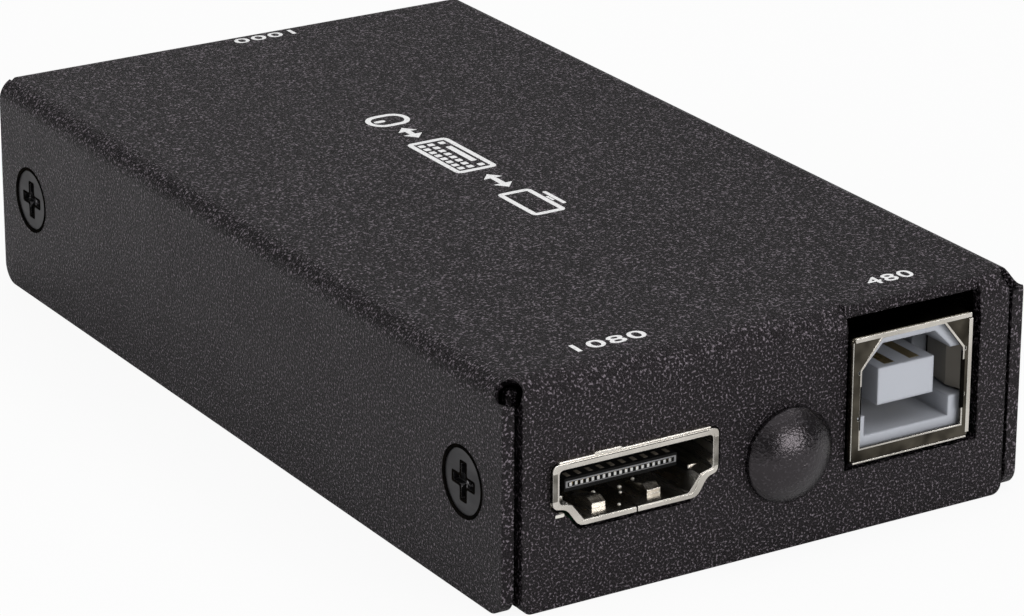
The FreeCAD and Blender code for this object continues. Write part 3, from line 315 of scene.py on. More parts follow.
metals = {
    # finish: material, dark patches, bright patches, painted edge highlight, roughness, patch scale, edge
    # radius
    "screw": ("screw_black", (0.040, 0.039, 0.041), (0.075, 0.073, 0.076), (0.40, 0.39, 0.40),
              0.38, 220.0, 0.00016),
    "post": ("post_zinc", (0.5, 0.5, 0.48), (0.64, 0.64, 0.62), (0.8, 0.8, 0.78),
             0.3, 220.0, 0.00008),
    "nickel": ("bright_nickel", (0.52, 0.49, 0.44), (0.76, 0.72, 0.66), (0.95, 0.93, 0.88),
               0.24, 220.0, 0.00008),
    # painted shade: a darker copy of the nickel, for the sides of the video socket's rim
    "dull": ("dull_nickel", (0.16, 0.15, 0.13), (0.34, 0.32, 0.29), (0.75, 0.73, 0.68),
             0.3, 700.0, 0.00006),
    # painted dark reflection: a darker, browner copy of the nickel, for the data socket's shell
    "tinned": ("brown_nickel", (0.012, 0.010, 0.007), (0.10, 0.089, 0.070), (0.8, 0.78, 0.72),
               0.2, 420.0, 0.00012),
    "gold": ("contact_gold", (0.62, 0.46, 0.2), (0.8, 0.62, 0.32), (0.95, 0.85, 0.6),
             0.22, 220.0, 0.00008),
    "tip": ("contact_tin", (0.75, 0.75, 0.74), (0.88, 0.88, 0.87), (0.95, 0.95, 0.95),
            0.35, 220.0, 0.00008),
    "tin": ("lead_tin", (0.55, 0.55, 0.55), (0.7, 0.7, 0.7), (0.85, 0.85, 0.85),
            0.35, 220.0, 0.00008),
}


def platedMetal(name, dark, bright, edge, roughness, patches, radius):
    material, tree, shader, place = newMaterial(name)
    shader.inputs["Metallic"].default_value = 1.0
    along = stretched(tree, place, metal["stretch"])
    lines = noise(tree, along, metal["streaks"], detail=4.0, roughness=0.6)
    face = ramp(tree, noise(tree, place, patches), metal["stops"], (dark, bright))
    rounded = roundedEdge(tree, radius)
    # painted highlight: the edge colour is mixed in along the edges
    edgeGlint = edgeShare(tree, rounded, *metal["glintEdge"])
    setColour(tree, shader, mixColour(tree, edgeGlint, face, edge))
    least, most = metal["spread"]
    varyRoughness(tree, shader, lines, roughness * least, roughness * most)
    bump(tree, shader, lines, metal["depth"], metal["strength"], rounded)
    return material


# Near black for painted shade in slots, gaps and screw recesses and for a dark seam, and the white ink

shadeAndSeam = {
    "looks": ((0.002, 0.002, 0.002), (0.006, 0.005, 0.004)),
    "stops": (0.3, 0.7),
    "cloud": 900.0,
    "roughness": 0.9,
}

ink = {
    "looks": ((0.62, 0.62, 0.62), (0.95, 0.95, 0.95)),
    "stops": (0.26, 0.42),
    "roughness": (0.5, 0.6),
    "depth": 0.4,  # how much of the paint's grain shows through
}


# painted shade: near black without gloss, laid where slots and gaps are in shade
def shadeAndSeamBlack(name):
    material, tree, shader, place = newMaterial(name)
    setColour(tree, shader, ramp(tree, noise(tree, place, shadeAndSeam["cloud"]), shadeAndSeam["stops"], shadeAndSeam["looks"]))
    shader.inputs["Roughness"].default_value = shadeAndSeam["roughness"]
    shader.inputs["Specular IOR Level"].default_value = 0.0
    return material


def printedInk(name):
    material, tree, shader, place = newMaterial(name)
    grain = noise(tree, place, paint["grain"], roughness=0.45)
    setColour(tree, shader, ramp(tree, grain, ink["stops"], ink["looks"]))
    varyRoughness(tree, shader, grain, *ink["roughness"])
    bump(tree, shader, grain, paint["depth"] * ink["depth"])
    return material


def makeFinishes():
    made = {
        "paint": powderCoat("powder_coat", paint),
        "plug": powderCoat("plug_plastic", plug),
        "ink": printedInk("white_ink"),
        "shadeAndSeam": shadeAndSeamBlack("painted_shade_and_seam_dark"),
        "white": socketPlastic("socket_white"),
    }
    for finish, values in metals.items():
        made[finish] = platedMetal(*values)
    for finish, values in plastics.items():
        made[finish] = mouldedPlastic(*values)
    return made


nodeFinishes = {
    "paint": ["top_cover", "base_tray"],
    "plug": ["hole_plug"],
    "screw": ["side_screws"],
    "post": ["standoffs", "board_screws"],
    "board": ["circuit_board"],
    "nickel": ["video_socket_shell", "network_jack_shield", "clock_crystals"],
    # the data socket's nickel shell, darkened by painted dark reflection
    "tinned": ["data_socket_shell"],
    "dark": ["video_socket_insulator", "network_jack_housing"],
    "white": ["data_socket_insulator"],
    "gold": ["video_socket_contacts", "data_socket_contacts", "network_jack_contacts"],
    "lens": ["network_jack_lenses"],
    "chip": ["video_processor", "network_controller", "power_regulator", "memory_chip",
             "network_transformer", "surge_protectors", "chip_resistors"],
    "tin": ["memory_chip_leads", "network_transformer_leads", "filter_capacitors"],
    "ferrite": ["power_inductor", "line_chokes"],
    "ceramic": ["chip_capacitors"],
}


def dressNodes():
    for finish, nodes in nodeFinishes.items():
        for node in nodes:
            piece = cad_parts[node]
            piece.data.materials.clear()
            piece.data.materials.append(finishes[finish])
    print("dressed", sum(len(nodes) for nodes in nodeFinishes.values()), "solids")


# Pieces of the scene

joinWithin = 1e-7  # metres
cornerReach = 0.45  # the most of a side that one rounded corner takes


def newObject(name, data):
    piece = bpy.data.objects.new(name, data)
    bpy.context.scene.collection.objects.link(piece)
    return piece


def addPiece(name, mesh, finish):
    mesh.materials.clear()
    mesh.materials.append(finishes[finish])
    piece = newObject(name, mesh)
    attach(piece, "root")


def plainMesh(source):
    # the evaluated shape of a curve, a text or an object with modifiers, and the source goes
    evaluated = source.evaluated_get(bpy.context.evaluated_depsgraph_get())
    mesh = bpy.data.meshes.new_from_object(evaluated)
    bpy.data.objects.remove(source)
    return mesh


def meshFrom(solid, name):
    mesh = bpy.data.meshes.new(name)
    solid.to_mesh(mesh)
    solid.free()
    return mesh


def sealMesh(mesh):
    # joins points that meet and turns the faces outwards
    solid = bmesh.new()
    solid.from_mesh(mesh)
    bmesh.ops.remove_doubles(solid, verts=solid.verts, dist=joinWithin)
    bmesh.ops.recalc_face_normals(solid, faces=solid.faces)
    solid.to_mesh(mesh)
    solid.free()


def roundedBlock(low, high, radius, segments):
    # a block in millimetres with its edges rounded, as a mesh in metres
    solid = bmesh.new()
    bmesh.ops.create_cube(solid, size=1.0)
    middle = (Vector(low) + Vector(high)) / 2
    span = Vector(high) - Vector(low)
    for vertex in solid.verts:
        vertex.co = Vector((vertex.co[i] * span[i] + middle[i] for i in range(3))) * mm
    if radius:
        bmesh.ops.bevel(solid, geom=solid.edges[:], offset=radius * mm, segments=segments,
                        affect="EDGES", profile=0.5)
    return meshFrom(solid, "block")


def blocksMesh(blocks, radius):
    solid = bmesh.new()
    for low, high in blocks:
        part = roundedBlock(low, high, radius, 1)
        solid.from_mesh(part)
        bpy.data.meshes.remove(part)
    return meshFrom(solid, "blocks")


def trimMesh(boxes, mouth, proud, sunk, radius):
    # thin blocks at a socket's mouth, each given by its low x, low z, high x and high z
    return blocksMesh([((x0, mouth - proud, z0), (x1, mouth + sunk, z1)) for x0, z0, x1, z1 in boxes], radius)


def roundCorners(points, radius, steps):
    # each corner becomes a short curve that starts and ends the radius away from it
    outline = []
    for index, point in enumerate(points):
        corner = Vector(point)
        before, after = Vector(points[index - 1]), Vector(points[(index + 1) % len(points)])
        reachIn = min(radius, (before - corner).length * cornerReach)
        reachOut = min(radius, (after - corner).length * cornerReach)
        start = corner + (before - corner).normalized() * reachIn
        end = corner + (after - corner).normalized() * reachOut
        for step in range(steps + 1):
            t = step / steps
            outline.append(tuple((1 - t) ** 2 * start + 2 * t * (1 - t) * corner + t ** 2 * end))
    return outline


def flatShape(name, outlines, thick):
    curve = bpy.data.curves.new(name, "CURVE")
    curve.dimensions = "2D"
    curve.fill_mode = "BOTH"
    curve.extrude = thick / 2
    for outline in outlines:
        spline = curve.splines.new("POLY")
        spline.points.add(len(outline) - 1)
        for point, (x, y) in zip(spline.points, outline):
            point.co = (x, y, 0.0, 1.0)
        spline.use_cyclic_u = True
    return plainMesh(newObject(name, curve))


def standingShape(name, outlines, front, thick):
    # a shape drawn across and up, stood on its edge with its face at the given front
    mesh = flatShape(name, outlines, thick)
    mesh.transform(Matrix.Scale(mm, 4) @ Matrix.Translation((0, front + thick / 2, 0))
                   @ Matrix.Rotation(math.pi / 2, 4, "X"))
    sealMesh(mesh)
    return mesh


# Printed marks, in millimetres

marks = {
    "thick": 0.03,
    "surface": 19.7,
    "bolder": 0.012,  # as a share of the letters' size
    "spacing": 1.12,
    "numbers": {
        # name: text, low corner, high corner, turn in degrees
        "video": ("1080", (-16.3, -41.6), (-9.6, -40.1), 0),
        "data": ("480", (12.0, -41.6), (16.5, -40.1), 0),
        "network": ("1000", (-1.3, 41.5), (5.0, 42.8), 180),
    },
}

# A screen, a keyboard and a mouse, joined by arrows. A box is its middle x, middle y, width, height
# and corner radius.
symbols = {
    "start": (1.45, -13.4),
    "turn": 90,
    "high": 4.15,
    "line": 0.5,
    "leastRadius": 0.05,
    "cornerSteps": 6,
    "screen": (3.1, 2.5, 6.2, 3.3, 0.5),
    "stand": ((3.1, 0.2, 3.4, 0.4, 0.15), (3.1, 0.62, 1.1, 0.24, 0.05)),
    "arrows": ((9.25, 3.7), (24.15, 3.0)),  # middle x, length
    "arrow": (1.05, 0.28, 0.95),  # length of the head, half the shaft's width, half the head's
    "keyboard": (17.0, 9.0, 0.6),  # middle x, width, corner radius
    "keyRows": (2, 8),
    "firstKey": (13.675, 3.15),
    "keyStep": 0.95,
    "key": (0.6, 0.6, 0.1),
    "lastRow": ((13.675, 1.1, 0.6, 0.6, 0.1), (17.0, 1.1, 4.4, 0.6, 0.1),
                (20.325, 1.1, 0.6, 0.6, 0.1)),
    "mouse": (28.15, 3.1, 1.5),  # middle x, width, corner radius
    "wheel": (28.15, 2.9, 0.5, 1.1, 0.24),
}


def roundedOutline(x, y, wide, high, radius):
    points = []
    steps = symbols["cornerSteps"]
    for turn, (sx, sy) in enumerate(((1, 1), (-1, 1), (-1, -1), (1, -1))):
        cx, cy = x + sx * (wide / 2 - radius), y + sy * (high / 2 - radius)
        for step in range(steps + 1):
            angle = math.pi / 2 * (turn + step / steps)
            points.append((cx + radius * math.cos(angle), cy + radius * math.sin(angle)))
    return points


def frameOutlines(x, y, wide, high, radius):
    line = symbols["line"]
    inner = max(symbols["leastRadius"], radius - line)
    return [roundedOutline(x, y, wide, high, radius),
            roundedOutline(x, y, wide - 2 * line, high - 2 * line, inner)]


def arrowOutline(x, y, long):
    head, shaft, wing = symbols["arrow"]
    half = long / 2
    neck = half - head
    points = [(neck, wing), (half, 0), (neck, -wing), (neck, -shaft), (-neck, -shaft),
              (-neck, -wing), (-half, 0), (-neck, wing), (-neck, shaft), (neck, shaft)]
    return [(x + px, y + py) for px, py in points]


def symbolOutlines():
    high = symbols["high"]
    middle = high / 2
    firstArrow, secondArrow = (arrowOutline(x, middle, long) for x, long in symbols["arrows"])
    shapes = frameOutlines(*symbols["screen"])
    shapes += [roundedOutline(*box) for box in symbols["stand"]]
    shapes.append(firstArrow)
    x, wide, radius = symbols["keyboard"]
    shapes += frameOutlines(x, middle, wide, high, radius)
    (keyX, keyY), step = symbols["firstKey"], symbols["keyStep"]
    rows, columns = symbols["keyRows"]
    for row in range(rows):
        for column in range(columns):
            shapes.append(roundedOutline(keyX + column * step, keyY - row * step, *symbols["key"]))
    shapes += [roundedOutline(*box) for box in symbols["lastRow"]]
    shapes.append(secondArrow)
    x, wide, radius = symbols["mouse"]
    shapes += frameOutlines(x, middle, wide, high, radius)
    shapes.append(roundedOutline(*symbols["wheel"]))
    return shapes


def flatNumber(text, wide, high, thick):
    curve = bpy.data.curves.new(text, "FONT")
    curve.body = text
    curve.offset = marks["bolder"]
    curve.space_character = marks["spacing"]
    curve.fill_mode = "BOTH"
    curve.extrude = thick / 2
    mesh = plainMesh(newObject(text, curve))
    for axis, size in enumerate((wide, high)):
        places = [vertex.co[axis] for vertex in mesh.vertices]
        least, most = min(places), max(places)
        for vertex in mesh.vertices:
            vertex.co[axis] = (vertex.co[axis] - least) / (most - least) * size
    return mesh


def layMark(name, mesh, corner, turn):
    # lays a flat mark on top of the cover, half sunk, its lower left corner at the given place
    turned = Matrix.Rotation(math.radians(turn), 4, "Z")
    lift = Matrix.Translation((corner[0], corner[1], marks["surface"]))
    mesh.transform(Matrix.Scale(mm, 4) @ lift @ turned)
    sealMesh(mesh)
    addPiece(name, mesh, "ink")


def makeMarks():
    thick = marks["thick"]
    layMark("cover_symbols", flatShape("symbols", symbolOutlines(), thick), symbols["start"],
            symbols["turn"])
    for name, (text, low, high, turn) in marks["numbers"].items():
        mesh = flatNumber(text, high[0] - low[0], high[1] - low[1], thick)
        layMark("cover_number_" + name, mesh, high if turn else low, turn)
    print("printed the cover")


# What repeats is made with Geometry Nodes

rowInputs = {
    "Count": "NodeSocketInt",
    "Start": "NodeSocketVector",
    "Step": "NodeSocketVector",
    "Unit": "NodeSocketObject",
    "Finish": "NodeSocketMaterial",
}


def rowTree():
    tree = bpy.data.node_groups.new("rowOfUnits", "GeometryNodeTree")
    sockets = {}
    for name, kind in rowInputs.items():
        sockets[name] = tree.interface.new_socket(name, in_out="INPUT", socket_type=kind).identifier
    tree.interface.new_socket("Geometry", in_out="OUTPUT", socket_type="NodeSocketGeometry")
    given = tree.nodes.new("NodeGroupInput")
    line = tree.nodes.new("GeometryNodeMeshLine")
    line.mode = "OFFSET"
    unit = tree.nodes.new("GeometryNodeObjectInfo")
    spread = tree.nodes.new("GeometryNodeInstanceOnPoints")
    real = tree.nodes.new("GeometryNodeRealizeInstances")
    finish = tree.nodes.new("GeometryNodeSetMaterial")
    out = tree.nodes.new("NodeGroupOutput")
    for source, target in (
            (given.outputs["Count"], line.inputs["Count"]),
            (given.outputs["Start"], line.inputs["Start Location"]),
            (given.outputs["Step"], line.inputs["Offset"]),
            (given.outputs["Unit"], unit.inputs["Object"]),
            (line.outputs["Mesh"], spread.inputs["Points"]),
            (unit.outputs["Geometry"], spread.inputs["Instance"]),
            (spread.outputs["Instances"], real.inputs["Geometry"]),
            (real.outputs["Geometry"], finish.inputs["Geometry"]),
            (given.outputs["Finish"], finish.inputs["Material"]),
            (finish.outputs["Geometry"], out.inputs["Geometry"])):
        tree.links.new(source, target)
    return tree, sockets


def makeRow(name, unitMesh, count, start, step, finish):
    tree, sockets = unitRow
    unit = newObject(name + "_unit", unitMesh)
    base = newObject(name + "_row", bpy.data.meshes.new(name))
    modifier = base.modifiers.new("row", "NODES")
    modifier.node_group = tree
    values = {"Count": count, "Start": [c * mm for c in start], "Step": [c * mm for c in step],
              "Unit": unit, "Finish": finishes[finish]}
    for socket, value in values.items():
        modifier[sockets[socket]] = value
    mesh = plainMesh(base)
    bpy.data.objects.remove(unit)
    addPiece(name, mesh, finish)


# Painted shadow: a near black ring in the gap around each side screw's head, and a band of painted shade
# around the mouth of its recess, in millimetres

screwShade = {
    "side": 25.2,  # of the cover
    "face": 25.1,  # of the screw's head
    "height": 9.6,
    "count": 2,
    "first": -38.76,
    "step": 76.56,
    "ringRadii": (2.76, 3.08),
    "ringDepths": (-0.012, 0.12),
    "ringSteps": 48,
    "mouth": (3.5, 1.06, 0.2),  # span, arm and corner radius
    "inside": (3.0, 0.68, 0.05),
    "cornerSteps": 3,
    "thick": 0.03,
}


# the ring of painted shadow in the gap around a screw's head
def shadowRingMesh(sign):
    inner, outer = screwShade["ringRadii"]
    proud, sunk = screwShade["ringDepths"]
    steps = screwShade["ringSteps"]
    angles = [2 * math.pi * step / steps for step in range(steps)]
    solid = bmesh.new()
    loops = []
    for radius, depth in ((inner, proud), (outer, proud), (outer, sunk), (inner, sunk)):
        x = sign * (screwShade["side"] - depth)
        loops.append([solid.verts.new(Vector((x, radius * math.cos(a), radius * math.sin(a))) * mm)
                      for a in angles])
    for one, other in zip(loops, loops[1:] + loops[:1]):
        for step in range(steps):
            after = (step + 1) % steps
            solid.faces.new((one[step], one[after], other[after], other[step]))
    bmesh.ops.recalc_face_normals(solid, faces=solid.faces)
    return meshFrom(solid, "ring")


def crossOutline(span, arm, radius):
    s, a = span / 2, arm / 2
    points = [(a, a), (a, s), (-a, s), (-a, a), (-s, a), (-s, -a),
              (-a, -a), (-a, -s), (a, -s), (a, -a), (s, -a), (s, a)]
    return roundCorners(points, radius, screwShade["cornerSteps"])


# the band of painted shade around a screw's recess
def recessShadeMesh(sign):
    outlines = [crossOutline(*screwShade[name]) for name in ("mouth", "inside")]
    thick = screwShade["thick"]
    mesh = standingShape("recess", outlines, -thick / 2, thick)
    mesh.transform(Matrix.Translation((sign * screwShade["face"] * mm, 0, 0))
                   @ Matrix.Rotation(math.pi / 2, 4, "Z"))
    return mesh


def makeScrewShade():
    count = screwShade["count"]
    start = (0, screwShade["first"], screwShade["height"])
    step = (0, screwShade["step"], 0)
    for sign, label in ((-1, "left"), (1, "right")):
        makeRow("screw_rings_" + label, shadowRingMesh(sign), count, start, step, "shadeAndSeam")
        makeRow("screw_recesses_" + label, recessShadeMesh(sign), count, start, step, "shadeAndSeam")
    print("marked the screws")


# The tray's upper corners, seen through the relief holes, in millimetres

trayCorners = {"across": (22.7, 23.85), "along": (-43.3, -42.2), "up": (16.0, 18.45), "round": 0.25}


def makeTrayCorners():
    (x0, x1), (y0, y1), (z0, z1) = (trayCorners[name] for name in ("across", "along", "up"))
    corners = [((min(sign * x0, sign * x1), y0, z0), (max(sign * x0, sign * x1), y1, z1))
               for sign in (-1, 1)]
    addPiece("tray_corners", blocksMesh(corners, trayCorners["round"]), "paint")
    print("filled the corners")


# Video socket, in millimetres

videoShell = {
    "mouth": -45.56,
    "rimDeep": 0.14,
    "rimOuter": ((-21.05, 12.42), (-5.53, 12.42), (-5.53, 8.62), (-6.55, 8.40), (-7.50, 6.84),
                 (-18.62, 6.88), (-19.80, 8.55), (-21.05, 8.70)),
    "rimInner": ((-20.67, 12.04), (-5.87, 12.04), (-5.87, 8.96), (-7.12, 8.68), (-7.86, 7.22),
                 (-18.42, 7.26), (-19.42, 8.82), (-20.67, 8.98)),
    "rimRound": (0.55, 0.25),  # outer, inner
    "rimSteps": 4,
    "sunk": 0.05,
    # low x, low z, high x, high z
    "sides": ((-21.07, 9.35, -20.60, 11.75), (-5.94, 9.15, -5.51, 11.70)),
    "sidesProud": 0.015,
    "sidesRound": 0.03,
    # painted shade: a dark line along the rim's top, between its bright edges
    "line": ((-19.6, 12.30, -6.5, 12.37),),
    "lineProud": 0.012,
    "lineRound": 0.02,
    # low corner, high corner, edge radius, steps
    "lip": ((-20.45, -45.50, 12.36), (-6.2, -44.2, 12.62), 0.09, 2),
    "bump": ((-17.2, -45.53, 12.5), (-14.6, -43.9, 12.78), 0.12, 3),
    "seam": ((-13.22, -45.60, 6.80), (-13.14, -45.0, 7.34), 0, 1),
    "tab": ((-20.5, -45.05, 7.66), (-19.62, -44.6, 7.98), 0.1, 2),
}

videoTongue = {
    "front": -43.22,
    "strip": ((-18.42, 9.17), (-8.03, 9.74)),
    "stripLine": (0.18, 0.06, 0.18, 0.12),  # left, bottom, right, top
    "stripThick": 0.04,
    "stripProud": 0.03,
    "pitch": 0.52,
    # low corner, high corner, edge radius, steps
    "tip": ((-0.12, -0.03, -0.15), (0.12, 0, 0.15), 0.012, 1),
    "tips": 19,
    "firstTip": (-17.97, 9.43),
    "tipProud": 0.02,
    "well": ((-0.2, -0.35, -0.02), (0.2, 0.35, 0.03), 0.015, 1),
    "wells": 10,
    "firstWell": (-17.9, -42.47, 9.95),
}

# painted highlights on the shell's floor
videoFloorGlints = {
    # x, y, radius
    "places": ((-14.62, -41.33, 0.19), (-12.25, -41.49, 0.19), (-12.77, -42.45, 0.14),
               (-10.48, -40.71, 0.17), (-14.16, -44.41, 0.14)),
    "floor": 7.29,
    "flatten": 0.7,
    "steps": (12, 8),  # around, up
}


def makeVideoShell():
    shell = videoShell
    mouth, sunk, deep = shell["mouth"], shell["sunk"], shell["rimDeep"]
    rims = [roundCorners(shell[name], radius, shell["rimSteps"])
            for name, radius in zip(("rimOuter", "rimInner"), shell["rimRound"])]
    addPiece("video_shell_rim", standingShape("rim", rims, mouth, deep), "nickel")
    # painted shade: the rim's left and right sides in darker nickel
    sides = trimMesh(shell["sides"], mouth, shell["sidesProud"], sunk, shell["sidesRound"])
    addPiece("video_shell_sides", sides, "dull")
    # painted shade: a near black line along the top of the rim
    line = trimMesh(shell["line"], mouth, shell["lineProud"], sunk, shell["lineRound"])
    addPiece("video_shell_line", line, "shadeAndSeam")
    addPiece("video_shell_lip", roundedBlock(*shell["lip"]), "nickel")
    addPiece("video_shell_bump", roundedBlock(*shell["bump"]), "nickel")
    addPiece("video_shell_seam", roundedBlock(*shell["seam"]), "shadeAndSeam")
    # painted highlight: the shell's small flange in pale plastic
    addPiece("video_shell_tab", roundedBlock(*shell["tab"]), "pip")


def makeVideoTongue():
    tongue = videoTongue
    front, thick, pitch = tongue["front"], tongue["stripThick"], tongue["pitch"]
    (x0, z0), (x1, z1) = tongue["strip"]
    # painted highlight: a thin grey frame on the tongue's lit edges, around the contacts
    left, bottom, right, top = tongue["stripLine"]
    outlines = [[(x0, z0), (x1, z0), (x1, z1), (x0, z1)],
                [(x0 + left, z0 + bottom), (x1 - right, z0 + bottom),
                 (x1 - right, z1 - top), (x0 + left, z1 - top)]]
    strip = standingShape("strip", outlines, front - tongue["stripProud"], thick)
    addPiece("video_tongue_strip", strip, "strip")
    x, z = tongue["firstTip"]
    makeRow("video_contact_tips", roundedBlock(*tongue["tip"]), tongue["tips"],
            (x, front - tongue["tipProud"], z), (pitch, 0, 0), "tip")
    makeRow("video_tongue_wells", roundedBlock(*tongue["well"]), tongue["wells"],
            tongue["firstWell"], (2 * pitch, 0, 0), "well")


def makeVideoFloorGlints():
    # painted highlights: small pale bumps on the floor of the shell, where its springs catch the light
    around, up = videoFloorGlints["steps"]
    flatten = Matrix.Diagonal((1, 1, videoFloorGlints["flatten"], 1))
    solid = bmesh.new()
    for x, y, radius in videoFloorGlints["places"]:
        place = Matrix.Translation(Vector((x, y, videoFloorGlints["floor"])) * mm) @ flatten
        bmesh.ops.create_uvsphere(solid, u_segments=around, v_segments=up, radius=radius * mm,
                                  matrix=place)
    addPiece("video_shell_pips", meshFrom(solid, "pips"), "pip")
    print("detailed the video socket")


# Data socket, in millimetres

dataShell = {
    "mouth": -45.65,
    "sunk": 0.1,
    "trimRound": 0.03,
    # low x, low z, high x, high z
    "slots": ((18.3, 8.95, 18.72, 13.3), (8.12, 9.15, 8.3, 13.0)),
    "slotsProud": 0.012,
    "edges": ((7.60, 16.84, 19.24, 17.23), (7.62, 6.26, 19.1, 6.42), (7.37, 6.6, 7.45, 16.9)),
    "edgesProud": 0.02,
    "strip": ((18.98, 6.7, 19.37, 16.75),),
    "stripProud": 0.012,
    "opening": ((8.27, 7.55), (18.47, 7.55), (18.47, 14.3), (16.47, 16.8), (10.27, 16.8), (8.27, 14.3)),
    "middle": (13.37, 12.175),
    "rim": 0.13,
    "rimThick": 0.1,
    "rimProud": 0.01,
    # one spring from above, as its distance from the middle and its y
    "spring": ((5.72, -45.0), (5.17, -43.3), (5.72, -40.0), (5.78, -40.0), (5.23, -43.3), (5.78, -45.0)),
    "springHigh": (10.22, 14.12),
}


def makeDataTrim():
    # thin pieces at the mouth: near black slots of painted shade, nickel edges of painted highlight on the
    # darker shell, and a nickel strip
    shell = dataShell
    for name, finish, slot in (("slots", "shadeAndSeam", "socket_black"), ("edges", "nickel", "nickel_shell"),
                               ("strip", "nickel", "nickel_shell")):
        mesh = trimMesh(shell[name], shell["mouth"], shell[name + "Proud"], shell["sunk"],
                        shell["trimRound"])
        addPiece("data_shell_" + name, mesh, finish)


def makeDataRim():
    # painted highlight: a bright nickel rim around the opening of the darker shell
    middle, rim, thick = Vector(dataShell["middle"]), dataShell["rim"], dataShell["rimThick"]
    outer = []
    for x, z in dataShell["opening"]:
        away = Vector((x, z)) - middle
        outer.append((x + math.copysign(rim, away.x), z + math.copysign(rim, away.y)))
    mesh = standingShape("rim", [outer, dataShell["opening"]],
                         dataShell["mouth"] - dataShell["rimProud"], thick)
    addPiece("data_shell_rim", mesh, "nickel")


def makeDataSprings():
    middle = Vector(dataShell["middle"])
    low, high = (z * mm for z in dataShell["springHigh"])
    solid = bmesh.new()
    for sign in (-1, 1):
        points = [((middle.x + sign * across) * mm, y * mm) for across, y in dataShell["spring"]]
        floor = [solid.verts.new((x, y, low)) for x, y in points]
        roof = [solid.verts.new((x, y, high)) for x, y in points]
        solid.faces.new(floor)
        solid.faces.new(roof)
        for i in range(len(points)):
            j = (i + 1) % len(points)
            solid.faces.new((floor[i], floor[j], roof[j], roof[i]))
    bmesh.ops.recalc_face_normals(solid, faces=solid.faces)
    addPiece("data_shell_springs", meshFrom(solid, "springs"), "spring")
    print("detailed the data socket")


# Studio, in metres, degrees and watts

camera = {
    "turn": -31.865,
    "tilt": -21.088,
    "roll": 0.229,
    "place": (-0.19328, -0.316468, 0.149402),
    "lens": 158.25,
    "sensor": 36.0,
    "near": 0.01,
    "far": 20.0,
}

lamps = {
    # name: place, aim, width, height, watts
    "key": ((0.13, -0.71, 0.26), (0, -0.02, 0.01), 0.50, 0.24, 2.55),
    "over": ((0.34, 0.0, 0.60), (0, -0.02, 0), 0.22, 0.22, 0.7),
    "back": ((0.12, 0.55, 0.38), (0, 0, 0.01), 0.16, 0.16, 0.25),
    "left": ((-0.60, -0.05, 0.25), (0, 0, 0.01), 0.16, 0.16, 0.85),
}

dome = {
    "low": 0.13,  # towards the horizon
    "high": 0.92,  # overhead
    "edge": (0.50, 0.85),  # where it brightens, as a share of straight up
    "seen": 1.0,  # how much plain white the camera meets in its place
    "mirrored": 0.04,  # how much a gloss does
}

ground = {
    "colour": (0.8, 0.8, 0.8),
    "roughness": 0.9,
    "reach": 1.5,
    "below": 0.00002,  # how far under the case it lies
    "seen": 0.92,  # how much plain white the camera meets in its place
    "mirrored": 0.04,  # how much a gloss does
}


def makeCamera():
    data = bpy.data.cameras.new("camera")
    data.sensor_fit = "HORIZONTAL"
    data.sensor_width = camera["sensor"]
    data.lens = camera["lens"]
    data.clip_start = camera["near"]
    data.clip_end = camera["far"]
    piece = newObject("camera", data)
    turn = Matrix.Rotation(math.radians(camera["turn"]), 4, "Z")
    tilt = Matrix.Rotation(math.radians(90 + camera["tilt"]), 4, "X")
    roll = Matrix.Rotation(math.radians(camera["roll"]), 4, "Z")
    piece.matrix_world = Matrix.Translation(camera["place"]) @ turn @ tilt @ roll
    bpy.context.scene.camera = piece


def makeLamps():
    for name, (place, aim, width, height, watts) in lamps.items():
        data = bpy.data.lights.new(name, "AREA")
        data.shape = "RECTANGLE"
        data.size = width
        data.size_y = height
        data.energy = watts
        piece = newObject(name, data)
        piece.location = place
        piece.rotation_euler = (Vector(aim) - Vector(place)).to_track_quat("-Z", "Y").to_euler()


def whiteShare(tree, settings):
    # how much plain white each kind of ray meets
    paths = tree.nodes.new("ShaderNodeLightPath")
    straight = math2(tree, "MAXIMUM", paths.outputs["Is Camera Ray"],
                     paths.outputs["Is Transmission Ray"])
    return math2(tree, "MAXIMUM", math2(tree, "MULTIPLY", straight, settings["seen"]),
                 math2(tree, "MULTIPLY", paths.outputs["Is Glossy Ray"], settings["mirrored"]))


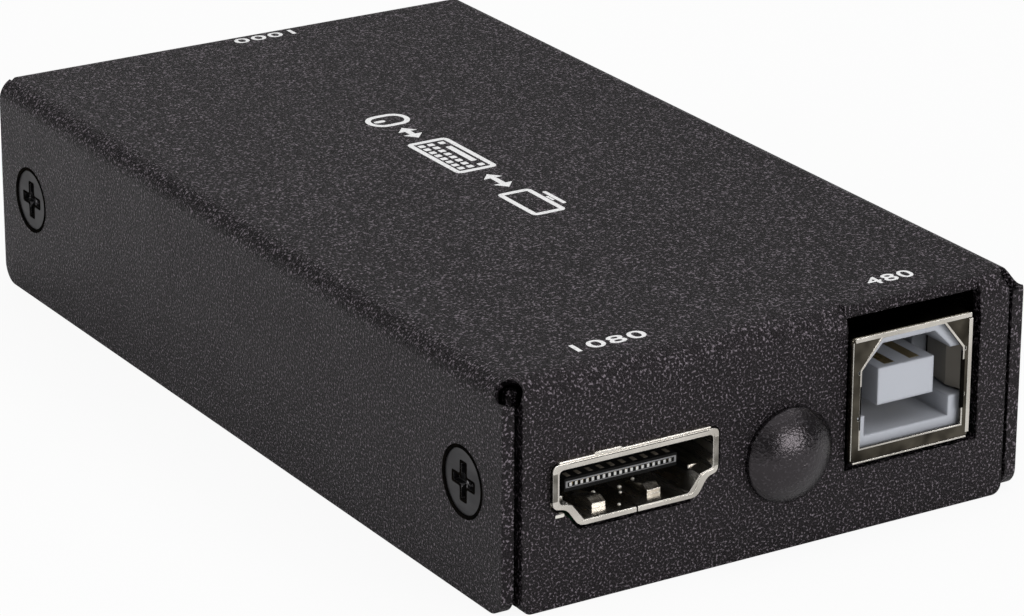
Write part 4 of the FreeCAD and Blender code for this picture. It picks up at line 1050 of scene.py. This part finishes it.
def makeWorld():
    world = bpy.data.worlds.new("studio")
    bpy.context.scene.world = world
    world.use_nodes = True
    tree = world.node_tree
    background = tree.nodes["Background"]
    background.inputs["Color"].default_value = (1.0, 1.0, 1.0, 1.0)
    direction = tree.nodes.new("ShaderNodeTexCoord")
    apart = tree.nodes.new("ShaderNodeSeparateXYZ")
    tree.links.new(direction.outputs["Generated"], apart.inputs["Vector"])
    glow = mapRange(tree, apart.outputs["Z"], *dome["edge"], dome["low"], dome["high"])
    strength = tree.nodes.new("ShaderNodeMix")
    strength.data_type = "FLOAT"
    tree.links.new(whiteShare(tree, dome), strength.inputs["Factor"])
    tree.links.new(glow, strength.inputs["A"])
    strength.inputs["B"].default_value = 1.0
    tree.links.new(strength.outputs["Result"], background.inputs["Strength"])


def mixShaders(tree, share, first, second):
    node = tree.nodes.new("ShaderNodeMixShader")
    for socket, source in zip(node.inputs, (share, first, second)):
        tree.links.new(source, socket)
    return node.outputs["Shader"]


def makeFloor():
    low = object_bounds()[0]
    reach, z = ground["reach"], low[2] - ground["below"]
    corners = [(-reach, -reach, z), (reach, -reach, z), (reach, reach, z), (-reach, reach, z)]
    mesh = bpy.data.meshes.new("floor")
    mesh.from_pydata(corners, [], [(0, 1, 2, 3)])
    floor = newObject("floor", mesh)
    material, tree, shader = newMaterial("floor")[:3]
    shader.inputs["Base Color"].default_value = (*ground["colour"], 1.0)
    shader.inputs["Roughness"].default_value = ground["roughness"]
    glow = tree.nodes.new("ShaderNodeEmission")
    glow.inputs["Color"].default_value = (1.0, 1.0, 1.0, 1.0)
    above = mixShaders(tree, whiteShare(tree, ground), shader.outputs["BSDF"], glow.outputs["Emission"])
    # seen from below, the floor is clear
    side = tree.nodes.new("ShaderNodeNewGeometry")
    clear = tree.nodes.new("ShaderNodeBsdfTransparent")
    surface = mixShaders(tree, side.outputs["Backfacing"], above, clear.outputs["BSDF"])
    tree.links.new(surface, tree.nodes["Material Output"].inputs["Surface"])
    mesh.materials.append(material)


finishes = makeFinishes()
unitRow = rowTree()
dressNodes()
makeMarks()
makeScrewShade()
makeTrayCorners()
makeVideoShell()
makeVideoTongue()
makeVideoFloorGlints()
makeDataTrim()
makeDataRim()
makeDataSprings()
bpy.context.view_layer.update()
makeFloor()
makeWorld()
makeLamps()
makeCamera()
bpy.context.scene.view_settings.view_transform = "Standard"
print("studio ready")
